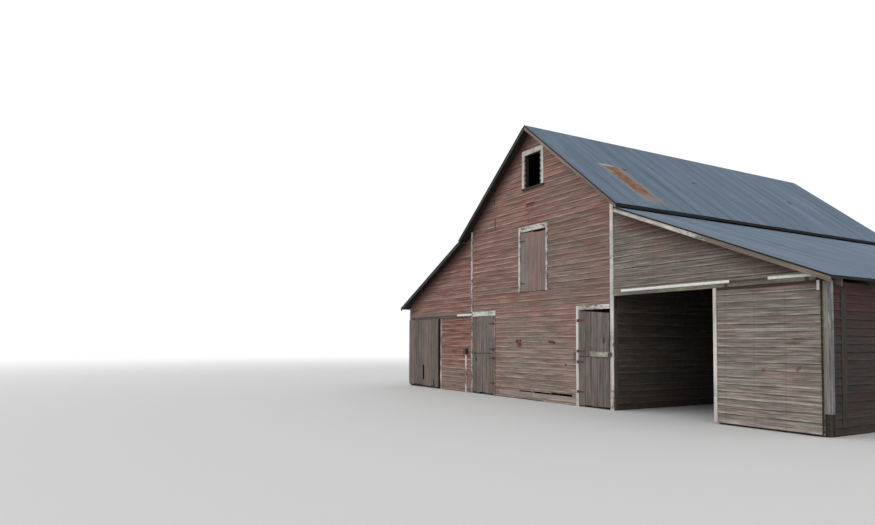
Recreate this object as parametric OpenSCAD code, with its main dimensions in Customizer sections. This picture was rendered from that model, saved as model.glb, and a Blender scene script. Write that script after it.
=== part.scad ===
// Timber barn: a tall gabled middle part with a lean-to along each side.
// Millimetres. X runs to the right along the front, Y from the front to the back, Z up.
// The origin lies on the ground under the middle of the roof.

/* [Plan] */
// Width of the tall middle part, over the outside faces of its walls
main_w = 6140; // [5600:20:7000]
// Width of the lean-to on the left
left_w = 4060; // [3900:20:5000]
// Width of the lean-to on the right
right_w = 4980; // [4800:20:6000]
// Length of the barn, over the outside faces of its end walls
barn_len = 12200; // [9000:100:15000]
// Thickness of a framed wall
wall_t = 100; // [85:5:120]

/* [Roof] */
// Height of the ridge, to the top of the roof sheets
ridge_h = 7620; // [7300:20:8200]
// Height of the tall part's eaves, to the top of the roof sheets
main_eave_h = 4850; // [4600:10:5000]
// Reach of the tall part's eaves past its side walls
main_eave_out = 330; // [250:10:400]
// Reach of the left lean-to's eave past its outer wall
left_eave_out = 280; // [200:10:400]
// Reach of the right lean-to's eave past its outer wall
right_eave_out = 190; // [120:10:400]
// Reach of all roofs past the end walls
rake_out = 280; // [200:10:400]
// Drop from the tall part's eave down to the left lean-to roof
left_drop = 12; // [8:2:60]
// Drop from the tall part's eave down to the right lean-to roof
right_drop = 80; // [40:5:140]
// Height of the left eave's tip above the head of the left bay
left_eave_lift = 440; // [350:10:600]
// Height of the right eave's tip above the head of the right bay
right_eave_lift = 50; // [10:5:200]
// Thickness of the roof sheets with the boards under them
roof_t = 30; // [20:2:45]
// Width of a roof sheet, from rib to rib
sheet_w = 610; // [500:10:900]
// Height of the ribs over the sheets' seams
rib_h = 12; // [6:1:18]
// Width of those ribs at their foot
rib_w = 40; // [24:2:60]
// Clearance between the roofs and what lies under or over them
roof_seat = 0.1; // [0.1:0.1:0.3]
// Height of the rake boards
rake_h = 90; // [70:5:160]
// Height of the rake boards on the right lean-to
right_rake_h = 130; // [90:5:160]
// Distance from the tall part's eaves back to the lean-to rake boards
rake_back = 60; // [30:5:150]
// Thickness of the rake boards
rake_t = 26; // [18:2:40]
// Length of the ridge cap down each slope
cap_w = 170; // [120:10:240]
// Thickness of the ridge cap
cap_t = 4; // [2:1:8]

/* [Roof timbers] */
// Depth of a rafter, square to the roof
rafter_h = 140; // [100:5:180]
// Thickness of a rafter
rafter_t = 40; // [30:2:60]
// Largest distance between rafters, centre to centre
rafter_step = 1220; // [600:20:1500]
// Rise of a wall plate into the foot of a rafter
rafter_seat = 34; // [20:2:45]
// Distance from the end of a rafter to the tip of its eave
rafter_back = 30; // [10:5:80]
// Thickness of the ridge board
ridge_board_t = 40; // [30:2:60]
// Depth of the ridge board
ridge_board_h = 220; // [200:10:300]
// Side of a post in the open row on the left
post_w = 150; // [120:10:200]
// Depth of the beam on those posts
beam_h = 200; // [160:10:280]
// Number of posts in the open row
posts = 5; // [3:1:7]
// Depth of the ties across the tall part
tie_h = 180; // [140:10:220]
// Thickness of the ties
tie_t = 90; // [60:5:120]
// Reach of a knee brace along the beam
brace_reach = 800; // [500:20:1000]
// Side of a knee brace
brace_t = 90; // [60:5:110]

/* [Doorways] */
// Height of the heads of both small doors
door_h = 2410; // [2200:10:2500]
// Width of the left small doorway
left_door_w = 1130; // [900:10:1250]
// Width of the right small doorway
right_door_w = 1070; // [900:10:1250]
// Height of the split between a door's lower and upper leaf
split_h = 1250; // [1100:10:1350]
// Height of the head of the left bay
left_bay_h = 2400; // [2300:10:2600]
// Length of the fixed wall beside the left bay
left_fixed_w = 1970; // [1900:10:2200]
// Height of the head of the right bay
right_bay_h = 2700; // [2500:10:2900]
// Length of the fixed wall beside the right bay
right_fixed_w = 2160; // [1900:10:2300]

/* [Openings in the gable] */
// Distance of the hay door and the window to the right of the ridge
gable_shift = 40; // [-150:10:150]
// Width of the hay door
hay_w = 1120; // [900:10:1300]
// Height of the hay door
hay_h = 1700; // [1400:10:1900]
// Height of the foot of the hay door
hay_z = 3000; // [2800:10:3200]
// Width of the window
window_w = 640; // [500:10:800]
// Height of the window
window_h = 940; // [700:10:960]
// Distance from the ridge down to the head of the window
window_drop = 750; // [720:10:900]

/* [Boards and casings] */
// Width of the tall part's corner boards and of the posts behind them
corner_w = 120; // [90:5:150]
// Width of the corner boards at the outer corners
end_board_w = 90; // [70:5:120]
// Height of the foot of the outer corner boards
end_board_z = 390; // [0:10:600]
// Thickness of corner boards and casings
trim_t = 28; // [20:2:34]
// Width of the left small door's casing
left_casing_w = 100; // [80:5:120]
// Width of the right small door's casing
right_casing_w = 85; // [80:5:120]
// Height of the casings over the small doors
door_header_h = 110; // [80:5:150]
// Width of the hay door's casing
hay_casing_w = 80; // [60:5:110]
// Height of the casing over the hay door
hay_header_h = 150; // [100:5:180]
// Width of the window's casing
window_casing_w = 130; // [80:5:140]
// Thickness of the window sill
sill_t = 50; // [30:5:70]
// Reach of the window sill from the wall
sill_out = 70; // [50:5:100]
// Width of the casing beside the left bay
bay_casing_w = 110; // [80:10:200]
// Distance of that casing from the bay
bay_casing_gap = 100; // [60:5:140]

/* [Foot of the front wall] */
// Thickness of the skirt boards
skirt_t = 22; // [16:2:30]
// Height of the long skirt board's lower edge
skirt_z = 70; // [50:5:90]
// Height of the long skirt board
skirt_h = 140; // [100:5:180]
// Distance of the long skirt board from the left end of its wall
skirt_from = 310; // [150:10:600]
// Length of the short low board
low_board_len = 1290; // [900:10:1500]
// Height of the short low board
low_board_h = 40; // [30:5:50]
// Height of the slot where a siding board is missing
slot_h = 90; // [60:5:120]
// Length of that slot
slot_len = 2180; // [1600:20:2400]
// Distance of the slot from the right end of its wall
slot_from = 250; // [200:10:400]
// Number of gaps between the studs in the slot
slot_gaps = 4; // [2:1:5]
// Thickness of a stud
stud_t = 45; // [35:5:60]

/* [Small doors] */
// Thickness of a plank leaf
plank_t = 28; // [22:2:34]
// Distance of a plank leaf's face in front of the casings
leaf_proud = 6; // [5:1:12]
// Clearance round a leaf
leaf_gap = 8; // [6:1:12]
// Clearance between a lower leaf and the ground
sweep_gap = 30; // [10:5:60]
// Width of the ledges on the back of a leaf
ledge_w = 120; // [80:5:150]
// Length of a hinge strap
strap_len = 200; // [150:10:400]
// Width of a hinge strap at its eye
strap_w = 56; // [40:2:60]
// Width of a hinge strap at its tip
strap_tip_w = 24; // [16:2:34]
// Thickness of a hinge strap
strap_t = 6; // [4:1:8]
// Radius of a hinge pin
pin_r = 5; // [4:0.5:7]
// Length of the plate that carries a hinge pin
pin_plate_len = 60; // [40:5:70]
// Clearance between a hinge pin and its eye
pin_clear = 0.3; // [0.1:0.1:0.6]
// Distance of the hinge straps from the split between two leaves
strap_inset = 130; // [100:10:200]
// Distance of the lowest strap from the foot of its leaf
strap_foot = 340; // [150:10:450]
// Distance of the highest strap from the head of its leaf
strap_head = 250; // [150:10:350]
// Length of the latch bar
latch_len = 700; // [500:10:750]
// Height of the latch bar
latch_h = 120; // [70:5:150]
// Thickness of the latch bar
latch_t = 25; // [18:1:35]
// Reach of the latch bar past its leaf
latch_over = 90; // [60:5:100]

/* [Sliding doors] */
// Clearance between a sliding leaf and the trim behind it
slide_gap = 8; // [6:1:15]
// Thickness of the boards on a sliding leaf
slide_skin_t = 22; // [18:1:30]
// Thickness of the frame behind those boards
slide_frame_t = 38; // [30:2:50]
// Width of the frame's members
slide_frame_w = 140; // [90:5:180]
// Overlap of the left leaf on the wall beside the bay
left_lap = 50; // [30:5:60]
// Overlap of the left leaf on the corner post
left_post_lap = 70; // [30:5:100]
// Width of the right leaf
right_leaf_w = 2110; // [1800:10:2120]
// Overlap of the right leaf's leading edge past the fixed wall
right_lap = 50; // [30:5:80]
// Width of the right leaf's leading stile
stile_w = 75; // [60:5:110]
// Height of the left leaf's foot
left_leaf_z = 50; // [20:5:90]
// Height of the right leaf's foot
right_leaf_z = 30; // [20:5:90]
// Clearance between a sliding leaf and the head of its bay
slide_top_gap = 10; // [6:1:20]

/* [Tracks] */
// Thickness of the track boards
track_board_t = 38; // [34:2:50]
// Height of the left track board
left_board_h = 130; // [110:5:200]
// Height of the left rail's middle above the head of its bay
left_rail_lift = 55; // [50:5:70]
// Height of the right rail's middle above the head of its bay
right_rail_lift = 100; // [60:5:110]
// Depth of a rail, square to the wall
rail_d = 26; // [24:1:28]
// Height of a rail
rail_h = 32; // [28:1:34]
// Thickness of a rail's sheet
rail_t = 3; // [2:0.5:3.5]
// Width of the slot under a rail
rail_slot = 10; // [9:1:12]
// Outer radius of the half-round rail covers
cover_r = 36; // [34:1:40]
// Thickness of a cover's sheet
cover_t = 3; // [2:0.5:3]
// Distance from the tall part to the start of the right rail
right_rail_from = 290; // [200:10:300]
// Length of the first cover on the right
cover_len = 2830; // [2400:10:3000]
// Length of the stretch where the cover is missing
cover_break = 800; // [500:10:900]
// Distance from the outer corner to the end of the right rail
right_rail_end = 200; // [150:10:300]
// Distance from the tall part to the end of the left rail
left_rail_end = 30; // [20:5:60]
// Length of the piece of cover left on the left rail
left_cover_len = 870; // [600:10:900]
// Reach of that piece past the tall part's corner
left_cover_over = 140; // [100:5:150]
// Distance of a hanger from the edge of its leaf
hanger_inset = 250; // [200:10:400]
// Width of a hanger
hanger_w = 60; // [40:5:90]
// Thickness of a hanger
hanger_t = 5; // [4:0.5:6]
// Radius of a hanger's roller
roller_r = 10; // [9:0.5:11]
// Clearance between a roller's ends and the sides of its rail
hanger_clear = 1.5; // [1:0.5:3]

/* [Small fittings] */
// Width of the outlet box
box_w = 160; // [140:10:320]
// Height of the outlet box
box_h = 190; // [150:10:250]
// Reach of the outlet box from the wall
box_d = 100; // [90:5:150]
// Height of the outlet box's underside
box_z = 1200; // [1000:10:1400]
// Distance of the outlet box from the tall part
box_from = 160; // [120:10:200]
// Width of the board under the outlet box
box_post_w = 120; // [80:5:140]
// Reach of that board from the wall
box_post_d = 60; // [40:5:80]
// Distance of the boards on the right side wall from the front
side_boards_from = 330; // [250:10:600]
// Width of each board on the right side wall
side_board_w = 95; // [70:5:120]
// Distance between those two boards
side_board_gap = 10; // [0:5:30]
// Height of the foot of those boards
side_boards_z = 140; // [50:10:300]
// Height of those boards
side_boards_h = 2390; // [1800:10:2400]

/* [Hidden] */
$fn = 48;
LEFT = 0;
RIGHT = 1;
past = 1; // reach of a cut past the faces that it opens

// Places across the front
total_w = left_w + main_w + right_w;
eave_out = [left_eave_out, right_eave_out];
x_mid = (left_eave_out - right_eave_out) / 2; // middle of the walls, with the roof's middle at 0
x_out = [x_mid - total_w / 2, x_mid + total_w / 2];
x_in = [x_out[LEFT] + left_w, x_out[RIGHT] - right_w];
x_ridge = (x_in[LEFT] + x_in[RIGHT]) / 2;
x_left_door = [x_in[LEFT] + corner_w, x_in[LEFT] + corner_w + left_door_w];
x_right_door = [x_in[RIGHT] - corner_w - right_door_w, x_in[RIGHT] - corner_w];
x_left_bay = [x_out[LEFT] + corner_w, x_in[LEFT] - left_fixed_w];
x_right_bay = [x_in[RIGHT], x_out[RIGHT] - right_fixed_w];
side = [-1, 1];

// Places from the front to the back
y_front = -barn_len / 2;
y_back = barn_len / 2;
y_inner = [y_front + wall_t, y_back - wall_t];
inner_len = y_inner[1] - y_inner[0];
y_rake = [y_front - rake_out, y_back + rake_out];

// Lines of the roofs, as heights over a place across the front
main_slope = (ridge_h - main_eave_h) / (main_w / 2 + main_eave_out);
main_v = roof_t / cos(atan(main_slope));
function main_top(x) = ridge_h - main_slope * abs(x - x_ridge);
function main_under(x) = main_top(x) - main_v - roof_seat;
lean_w = [left_w, right_w];
lean_drop = [left_drop, right_drop];
lean_start = [for (s = [LEFT, RIGHT]) main_eave_h - main_v - lean_drop[s]];
lean_tip = [left_bay_h + left_eave_lift, right_bay_h + right_eave_lift];
lean_slope = [for (s = [LEFT, RIGHT])
    (lean_start[s] - lean_tip[s]) / (lean_w[s] + eave_out[s] - main_eave_out)];
lean_v = [for (s = [LEFT, RIGHT]) roof_t / cos(atan(lean_slope[s]))];
function lean_top(s, x) =
    lean_start[s] - lean_slope[s] * (abs(x - x_in[s]) - main_eave_out);
function lean_under(s, x) = lean_top(s, x) - lean_v[s] - roof_seat;
x_tip = [for (s = [LEFT, RIGHT]) x_out[s] + side[s] * eave_out[s]];
x_main_eave = [for (s = [LEFT, RIGHT]) x_in[s] + side[s] * main_eave_out];
x_lean_rake = [for (s = [LEFT, RIGHT]) x_main_eave[s] - side[s] * rake_back];
lean_rake_h = [rake_h, right_rake_h];
cap_run = cap_w * cos(atan(main_slope));
sheets = round((y_rake[1] - y_rake[0]) / sheet_w);
sheet_pitch = (y_rake[1] - y_rake[0] - 2 * rib_w) / sheets;

// Rafters and the plates that carry them
main_rafter_v = rafter_h / cos(atan(main_slope));
lean_rafter_v = [for (s = [LEFT, RIGHT]) rafter_h / cos(atan(lean_slope[s]))];
main_plate_h = main_under(x_in[RIGHT]) - main_rafter_v + rafter_seat;
lean_plate_h = [for (s = [LEFT, RIGHT])
    lean_under(s, x_out[s]) - lean_rafter_v[s] + rafter_seat];
rafter_bays = ceil((inner_len - rafter_t) / rafter_step);
rafter_pitch = (inner_len - rafter_t) / rafter_bays;
post_pitch = (inner_len - post_w) / (posts - 1);
plate_w = [post_w, wall_t];

// Places of the hay door and the window
x_gable_mid = x_ridge + gable_shift;
x_hay = [x_gable_mid - hay_w / 2, x_gable_mid + hay_w / 2];
x_window = [x_gable_mid - window_w / 2, x_gable_mid + window_w / 2];
window_z = ridge_h - window_drop - window_h;

// Ends of the outlet box
x_box = [x_in[LEFT] - box_from - box_w, x_in[LEFT] - box_from];

// Planes in front of the front wall
y_trim = y_front - trim_t;
y_leaf = y_trim - leaf_proud;
y_slide = y_trim - slide_gap;
y_track = y_front - track_board_t;

// Hinges of the small doors
eye_r = pin_r + strap_t;
y_pin = y_leaf - eye_r;
x_pin = [x_left_door[1] - leaf_gap / 2, x_right_door[0] + leaf_gap / 2];
hinge_side = [1, -1];
hinge_plate_t = leaf_proud - 1;
seat_clear = 0.3;
leaf_z = [[sweep_gap, split_h - leaf_gap / 2],
    [split_h + leaf_gap / 2, door_h - leaf_gap]];
strap_z = [[leaf_z[0][0] + strap_foot, leaf_z[0][1] - strap_inset],
    [leaf_z[1][0] + strap_inset, leaf_z[1][1] - strap_head]];

// Rails, hangers and sliding leaves
rail_z = [left_bay_h + left_rail_lift, right_bay_h + right_rail_lift];
x_left_rail = [x_out[LEFT] + end_board_w, x_in[LEFT] - left_rail_end];
x_right_rail = [x_in[RIGHT] + right_rail_from, x_out[RIGHT] - right_rail_end];
x_left_leaf = [x_left_bay[0] - left_post_lap, x_left_bay[1] + left_lap];
x_right_leaf = [x_right_bay[1] - right_lap, x_right_bay[1] - right_lap + right_leaf_w];
x_leaf = [x_left_leaf, x_right_leaf];
slide_z = [[left_leaf_z, left_bay_h - slide_top_gap], [right_leaf_z, right_bay_h - slide_top_gap]];
right_board_top = lean_under(RIGHT, x_right_rail[1]) - slide_top_gap;

// An outline in X and Z, pulled along Y from y0 to y1
module along_y(y0, y1) {
    translate([0, y1, 0]) rotate([90, 0, 0]) linear_extrude(y1 - y0) children();
}

// An outline in Y and Z, pulled along X from x0 to x1
module along_x(x0, x1) {
    translate([x0, 0, 0]) rotate([90, 0, 90]) linear_extrude(x1 - x0) children();
}

// A box between two values on each axis
module block(xs, ys, zs) {
    translate([min(xs), min(ys), min(zs)])
        cube([abs(xs[1] - xs[0]), abs(ys[1] - ys[0]), abs(zs[1] - zs[0])]);
}

// A piece of the front wall from the ground to its head
module front_slab(xs, head) {
    block(xs, [y_front, y_inner[0]], [0, head]);
}

// Walls

module front_wall_middle() {
    wall = [x_left_door[1], x_right_door[0]];
    gap = (slot_len - (slot_gaps - 1) * stud_t) / slot_gaps;
    slot_start = wall[1] - slot_from - slot_len;
    color("firebrick") difference() {
        front_slab(wall, door_h);
        for (i = [0 : slot_gaps - 1])
            translate([slot_start + i * (gap + stud_t), y_front - past, skirt_z + skirt_h])
                cube([gap, wall_t + 2 * past, slot_h]);
    }
}

module main_gable_outline(foot) {
    polygon([[x_in[LEFT], foot], [x_in[RIGHT], foot],
        [x_in[RIGHT], main_under(x_in[RIGHT])], [x_ridge, main_under(x_ridge)],
        [x_in[LEFT], main_under(x_in[LEFT])]]);
}

module lean_end_outline(s, foot) {
    polygon([[x_in[s], foot], [x_out[s], foot],
        [x_out[s], lean_under(s, x_out[s])], [x_in[s], lean_under(s, x_in[s])]]);
}

module front_gable_wall() {
    color("firebrick") along_y(y_front, y_inner[0]) difference() {
        main_gable_outline(door_h);
        translate([x_hay[0], hay_z]) square([hay_w, hay_h]);
        translate([x_window[0], window_z]) square([window_w, window_h]);
    }
}

module front_posts() {
    color("dimgray") {
        front_slab([x_out[LEFT], x_left_bay[0]], left_bay_h);
        front_slab([x_in[LEFT], x_left_door[0]], door_h);
        front_slab([x_right_door[1], x_in[RIGHT]], door_h);
    }
}

module left_front_wall() {
    color("brown") front_slab([x_left_bay[1], x_in[LEFT]], left_bay_h);
}

module left_front_upper_wall() {
    color("firebrick") along_y(y_front, y_inner[0]) lean_end_outline(LEFT, left_bay_h);
}

module right_front_wall() {
    color("rosybrown") front_slab([x_right_bay[1], x_out[RIGHT]], right_bay_h);
}

module right_front_upper_wall() {
    color("rosybrown") along_y(y_front, y_inner[0]) lean_end_outline(RIGHT, right_bay_h);
}

module lean_side_wall(s) {
    color("firebrick")
        block([x_out[s], x_out[s] - side[s] * wall_t], y_inner, [0, lean_plate_h[s]]);
}

module back_gable_wall() {
    color("firebrick") along_y(y_inner[1], y_back) main_gable_outline(0);
}

module back_lean_walls() {
    color("firebrick") {
        along_y(y_inner[1], y_back) difference() {
            lean_end_outline(LEFT, 0);
            translate([x_in[LEFT] - seat_clear, 0]) square([seat_clear, lean_start[LEFT] * 2]);
        }
        along_y(y_inner[1], y_back) lean_end_outline(RIGHT, 0);
    }
}

module main_side_wall() {
    color("rosybrown") block([x_in[RIGHT] - wall_t, x_in[RIGHT]], y_inner, [0, main_plate_h]);
}

// Timber frame

module row_posts() {
    color("dimgray") for (i = [0 : posts - 1])
        translate([x_in[LEFT], y_inner[0] + i * post_pitch, 0])
            cube([post_w, post_w, main_plate_h - beam_h]);
}

module row_beam() {
    color("gray")
        block([x_in[LEFT], x_in[LEFT] + post_w], y_inner, [main_plate_h - beam_h, main_plate_h]);
}

// A brace from a post up to the beam, leaning forwards or backwards along Y
module knee_brace(y, way) {
    top = main_plate_h - beam_h;
    across = brace_t * sqrt(2);
    x0 = x_in[LEFT] + (post_w - brace_t) / 2;
    along_x(x0, x0 + brace_t)
        polygon([[y, top - brace_reach], [y + way * brace_reach, top],
            [y + way * (brace_reach - across), top], [y, top - brace_reach + across]]);
}

module knee_braces() {
    color("gray") for (i = [0 : posts - 1]) {
        y0 = y_inner[0] + i * post_pitch;
        if (i < posts - 1) knee_brace(y0 + post_w, 1);
        if (i > 0) knee_brace(y0, -1);
    }
}

module tie_beams() {
    color("gray") for (i = [1 : posts - 2]) {
        y0 = y_inner[0] + i * post_pitch + (post_w - tie_t) / 2;
        block([x_in[LEFT] + post_w, x_in[RIGHT] - wall_t], [y0, y0 + tie_t],
            [main_plate_h - tie_h, main_plate_h]);
    }
}

// Copies of a rafter outline from the front wall to the back wall
module rafter_row() {
    for (i = [0 : rafter_bays]) {
        y0 = y_inner[0] + i * rafter_pitch;
        along_y(y0, y0 + rafter_t) children();
    }
}

module main_rafter_outline(s) {
    head = x_ridge + side[s] * ridge_board_t / 2;
    difference() {
        polygon([[head, main_under(head)], [x_in[s], main_under(x_in[s])],
            [x_in[s], main_under(x_in[s]) - main_rafter_v], [head, main_under(head) - main_rafter_v]]);
        translate([s == LEFT ? x_in[s] : x_in[s] - plate_w[s], 0])
            square([plate_w[s], main_plate_h]);
    }
}

module main_rafters() {
    color("tan") for (s = [LEFT, RIGHT]) rafter_row() main_rafter_outline(s);
}

module ridge_board() {
    half = ridge_board_t / 2;
    foot = main_under(x_ridge) - ridge_board_h;
    color("tan") along_y(y_inner[0], y_inner[1])
        polygon([[x_ridge - half, foot], [x_ridge + half, foot],
            [x_ridge + half, main_under(x_ridge + half)], [x_ridge, main_under(x_ridge)],
            [x_ridge - half, main_under(x_ridge - half)]]);
}

module lean_rafter_outline(s) {
    foot = x_tip[s] - side[s] * rafter_back;
    difference() {
        polygon([[x_in[s], lean_under(s, x_in[s])], [foot, lean_under(s, foot)],
            [foot, lean_under(s, foot) - lean_rafter_v[s]],
            [x_in[s], lean_under(s, x_in[s]) - lean_rafter_v[s]]]);
        translate([s == LEFT ? x_out[s] : x_out[s] - wall_t, 0])
            square([wall_t, lean_plate_h[s]]);
    }
}

module lean_rafters(s) {
    color("tan") rafter_row() lean_rafter_outline(s);
}

// Roofs

// Ribs down a slope, one over each seam between two sheets
module sheet_ribs(s, high, low) {
    run = low[0] - high[0];
    fall = low[1] - high[1];
    for (i = [0 : sheets])
        translate([high[0], y_rake[0] + rib_w + i * sheet_pitch, high[1]])
            rotate([0, atan2(run, fall), 0]) linear_extrude(norm([run, fall]))
                polygon([[side[s] * roof_t / 4, -rib_w / 2], [-side[s] * rib_h, 0],
                    [side[s] * roof_t / 4, rib_w / 2]]);
}

module main_roof(s) {
    x_high = x_ridge + side[s] * (cap_run + rib_h);
    x_low = x_main_eave[s] - side[s] * rib_h;
    color("slategray") {
        along_y(y_rake[0], y_rake[1])
            polygon([[x_ridge, ridge_h], [x_main_eave[s], main_eave_h],
                [x_main_eave[s], main_eave_h - main_v], [x_ridge, ridge_h - main_v]]);
        sheet_ribs(s, [x_high, main_top(x_high)], [x_low, main_top(x_low)]);
    }
}

module ridge_cap() {
    rise = cap_t / cos(atan(main_slope));
    color("lightslategray") along_y(y_rake[0], y_rake[1])
        polygon([for (d = [-cap_run, 0, cap_run]) [x_ridge + d, main_top(x_ridge + d) + roof_seat],
            for (d = [cap_run, 0, -cap_run]) [x_ridge + d, main_top(x_ridge + d) + roof_seat + rise]]);
}

module lean_roof(s) {
    x_high = x_main_eave[s] + side[s] * rib_w;
    x_low = x_tip[s] - side[s] * rib_h;
    color("lightslategray") {
        along_y(y_rake[0], y_rake[1])
            polygon([[x_in[s], lean_top(s, x_in[s])], [x_tip[s], lean_top(s, x_tip[s])],
                [x_tip[s], lean_top(s, x_tip[s]) - lean_v[s]],
                [x_in[s], lean_top(s, x_in[s]) - lean_v[s]]]);
        sheet_ribs(s, [x_high, lean_top(s, x_high)], [x_low, lean_top(s, x_low)]);
    }
}

module main_rake_outline(s) {
    difference() {
        polygon([[x_ridge, main_under(x_ridge)], [x_main_eave[s], main_under(x_main_eave[s])],
            [x_main_eave[s], main_under(x_main_eave[s]) - rake_h],
            [x_ridge, main_under(x_ridge) - rake_h]]);
        polygon([[x_in[s], 0], [x_in[s], lean_top(s, x_in[s])], [x_tip[s], lean_top(s, x_tip[s])],
            [x_tip[s], 0]]);
    }
}

module lean_rake_outline(s) {
    x0 = x_lean_rake[s];
    polygon([[x0, lean_under(s, x0)], [x_tip[s], lean_under(s, x_tip[s])],
        [x_tip[s], lean_under(s, x_tip[s]) - lean_rake_h[s]], [x0, lean_under(s, x0) - lean_rake_h[s]]]);
}

module rake_boards(s) {
    color("gray") for (y = [y_rake[0], y_rake[1] - rake_t]) {
        along_y(y, y + rake_t) main_rake_outline(s);
        along_y(y, y + rake_t) lean_rake_outline(s);
    }
}

// Corner boards, casings and skirt boards

module main_corner_boards() {
    color("gainsboro") for (s = [LEFT, RIGHT]) for (ys = [[y_trim, y_front], [y_back, y_back + trim_t]])
        block([x_in[s], x_in[s] - side[s] * corner_w], ys, [0, main_under(x_in[s])]);
}

// The two boards that wrap an outer corner, as one angle
module end_corner_board(s, y, way) {
    x = x_out[s];
    translate([0, 0, end_board_z]) linear_extrude(lean_plate_h[s] - end_board_z)
        polygon([[x - side[s] * end_board_w, y], [x, y], [x, y - way * end_board_w],
            [x + side[s] * trim_t, y - way * end_board_w], [x + side[s] * trim_t, y + way * trim_t],
            [x - side[s] * end_board_w, y + way * trim_t]]);
}

module end_corner_boards() {
    color("lightgray") for (s = [LEFT, RIGHT]) {
        end_corner_board(s, y_front, -1);
        end_corner_board(s, y_back, 1);
    }
}

// An upright with a header that runs from it over the doorway
module door_casing(edge, width, far, way) {
    outer = edge + way * width;
    along_y(y_trim, y_front)
        polygon([[edge, 0], [outer, 0], [outer, door_h + door_header_h],
            [far, door_h + door_header_h], [far, door_h], [edge, door_h]]);
}

module door_casings() {
    color("gainsboro") {
        door_casing(x_left_door[1], left_casing_w, x_left_door[0], 1);
        door_casing(x_right_door[0], right_casing_w, x_right_door[1], -1);
    }
}

module hay_door_casing() {
    color("gainsboro") along_y(y_trim, y_front) difference() {
        translate([x_hay[0] - hay_casing_w, hay_z])
            square([hay_w + 2 * hay_casing_w, hay_h + hay_header_h]);
        translate([x_hay[0], hay_z - past]) square([hay_w, hay_h + past]);
    }
}

module window_casing() {
    outer = [x_window[0] - window_casing_w, x_window[1] + window_casing_w];
    color("gainsboro") {
        along_y(y_trim, y_front) difference() {
            translate([outer[0], window_z - sill_t / 2])
                square([outer[1] - outer[0], window_h + window_casing_w + sill_t / 2]);
            translate([x_window[0], window_z]) square([window_w, window_h]);
        }
        block(outer, [y_front - sill_out, y_front], [window_z - sill_t, window_z]);
    }
}

module bay_casing() {
    x0 = x_left_bay[1] + bay_casing_gap;
    color("lightgray") block([x0, x0 + bay_casing_w], [y_trim, y_front], [0, slide_z[LEFT][1]]);
}

module skirt_boards() {
    end = x_right_door[0] - right_casing_w;
    color("rosybrown") {
        block([x_left_door[1] + skirt_from, end], [y_front - skirt_t, y_front],
            [skirt_z, skirt_z + skirt_h]);
        block([end - low_board_len, end], [y_front - skirt_t, y_front], [0, low_board_h]);
    }
}

// Boards that stand upright on the walls: a pair at the right side, one under the outlet box
module upright_boards() {
    middle = (x_box[0] + x_box[1]) / 2;
    color("silver") {
        for (i = [0, 1]) {
            y0 = y_front + side_boards_from + i * (side_board_w + side_board_gap);
            block([x_out[RIGHT], x_out[RIGHT] + trim_t], [y0, y0 + side_board_w],
                [side_boards_z, side_boards_z + side_boards_h]);
        }
        block([middle - box_post_w / 2, middle + box_post_w / 2],
            [y_front - box_post_d, y_front], [0, box_z]);
    }
}

module outlet_box() {
    color("dimgray") block(x_box, [y_front - box_d, y_front], [box_z, box_z + box_h]);
}

// A strap that narrows from its eye to its tip
module strap_outline(way) {
    polygon([[0, -strap_w / 2], [way * strap_len, -strap_tip_w / 2],
        [way * strap_len, strap_tip_w / 2], [0, strap_w / 2]]);
}

// Hay door, fixed shut

module hay_door() {
    face = y_front - leaf_proud;
    straps = [hay_z + strap_head, hay_z + hay_h - strap_head];
    color("rosybrown") {
        block(x_hay, [face, face + plank_t], [hay_z, hay_z + hay_h]);
        for (z = straps)
            block(x_hay, [face + plank_t, face + 2 * plank_t], [z - ledge_w / 2, z + ledge_w / 2]);
    }
    color("darkred") for (z = straps)
        translate([x_hay[0], 0, z]) along_y(face - strap_t, face) strap_outline(1);
}

// Small doors

// A tapered strap that ends in an eye round the hinge pin
module hinge_strap(s, z) {
    translate([x_pin[s], 0, z]) {
        along_y(y_leaf - strap_t, y_leaf) strap_outline(-hinge_side[s]);
        translate([0, y_pin, -strap_w / 2]) cylinder(r = eye_r, h = strap_w);
    }
}

module door_leaf(s, part) {
    xs = s == LEFT ? x_left_door : x_right_door;
    clear = [xs[0] + leaf_gap, xs[1] - leaf_gap];
    zs = leaf_z[part];
    color("dimgray") difference() {
        union() {
            block(clear, [y_leaf, y_leaf + plank_t], zs);
            for (z = strap_z[part])
                block([clear[0] + ledge_w / 2, clear[1] - ledge_w / 2],
                    [y_leaf + plank_t, y_leaf + 2 * plank_t], [z - ledge_w / 2, z + ledge_w / 2]);
            for (z = strap_z[part]) hinge_strap(s, z);
        }
        translate([x_pin[s], y_pin, zs[0] - past])
            cylinder(r = pin_r + pin_clear, h = zs[1] - zs[0] + 2 * past);
    }
}

// A plate on the casing with an arm and a pin for one eye
module hinge_pin(s, z) {
    way = hinge_side[s];
    foot = z - strap_w / 2 - seat_clear;
    x = x_pin[s];
    plate = [x + way * leaf_gap, x + way * (leaf_gap + pin_plate_len)];
    block(plate, [y_trim - hinge_plate_t, y_trim], [foot - strap_t, z + strap_w / 2]);
    translate([x, y_pin, foot - strap_t]) cylinder(r = pin_r, h = strap_w + 2 * strap_t);
    block([x, plate[1]], [y_pin, y_trim - hinge_plate_t], [foot - strap_t, foot]);
}

module hinge_pins() {
    color("darkred") for (s = [LEFT, RIGHT]) for (part = [0, 1]) for (z = strap_z[part])
        hinge_pin(s, z);
}

module latch_bar() {
    x1 = x_right_door[1] - leaf_gap + latch_over;
    color("silver") block([x1 - latch_len, x1], [y_leaf - latch_t, y_leaf],
        [leaf_z[1][0], leaf_z[1][0] + latch_h]);
}

// Sliding doors

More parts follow.
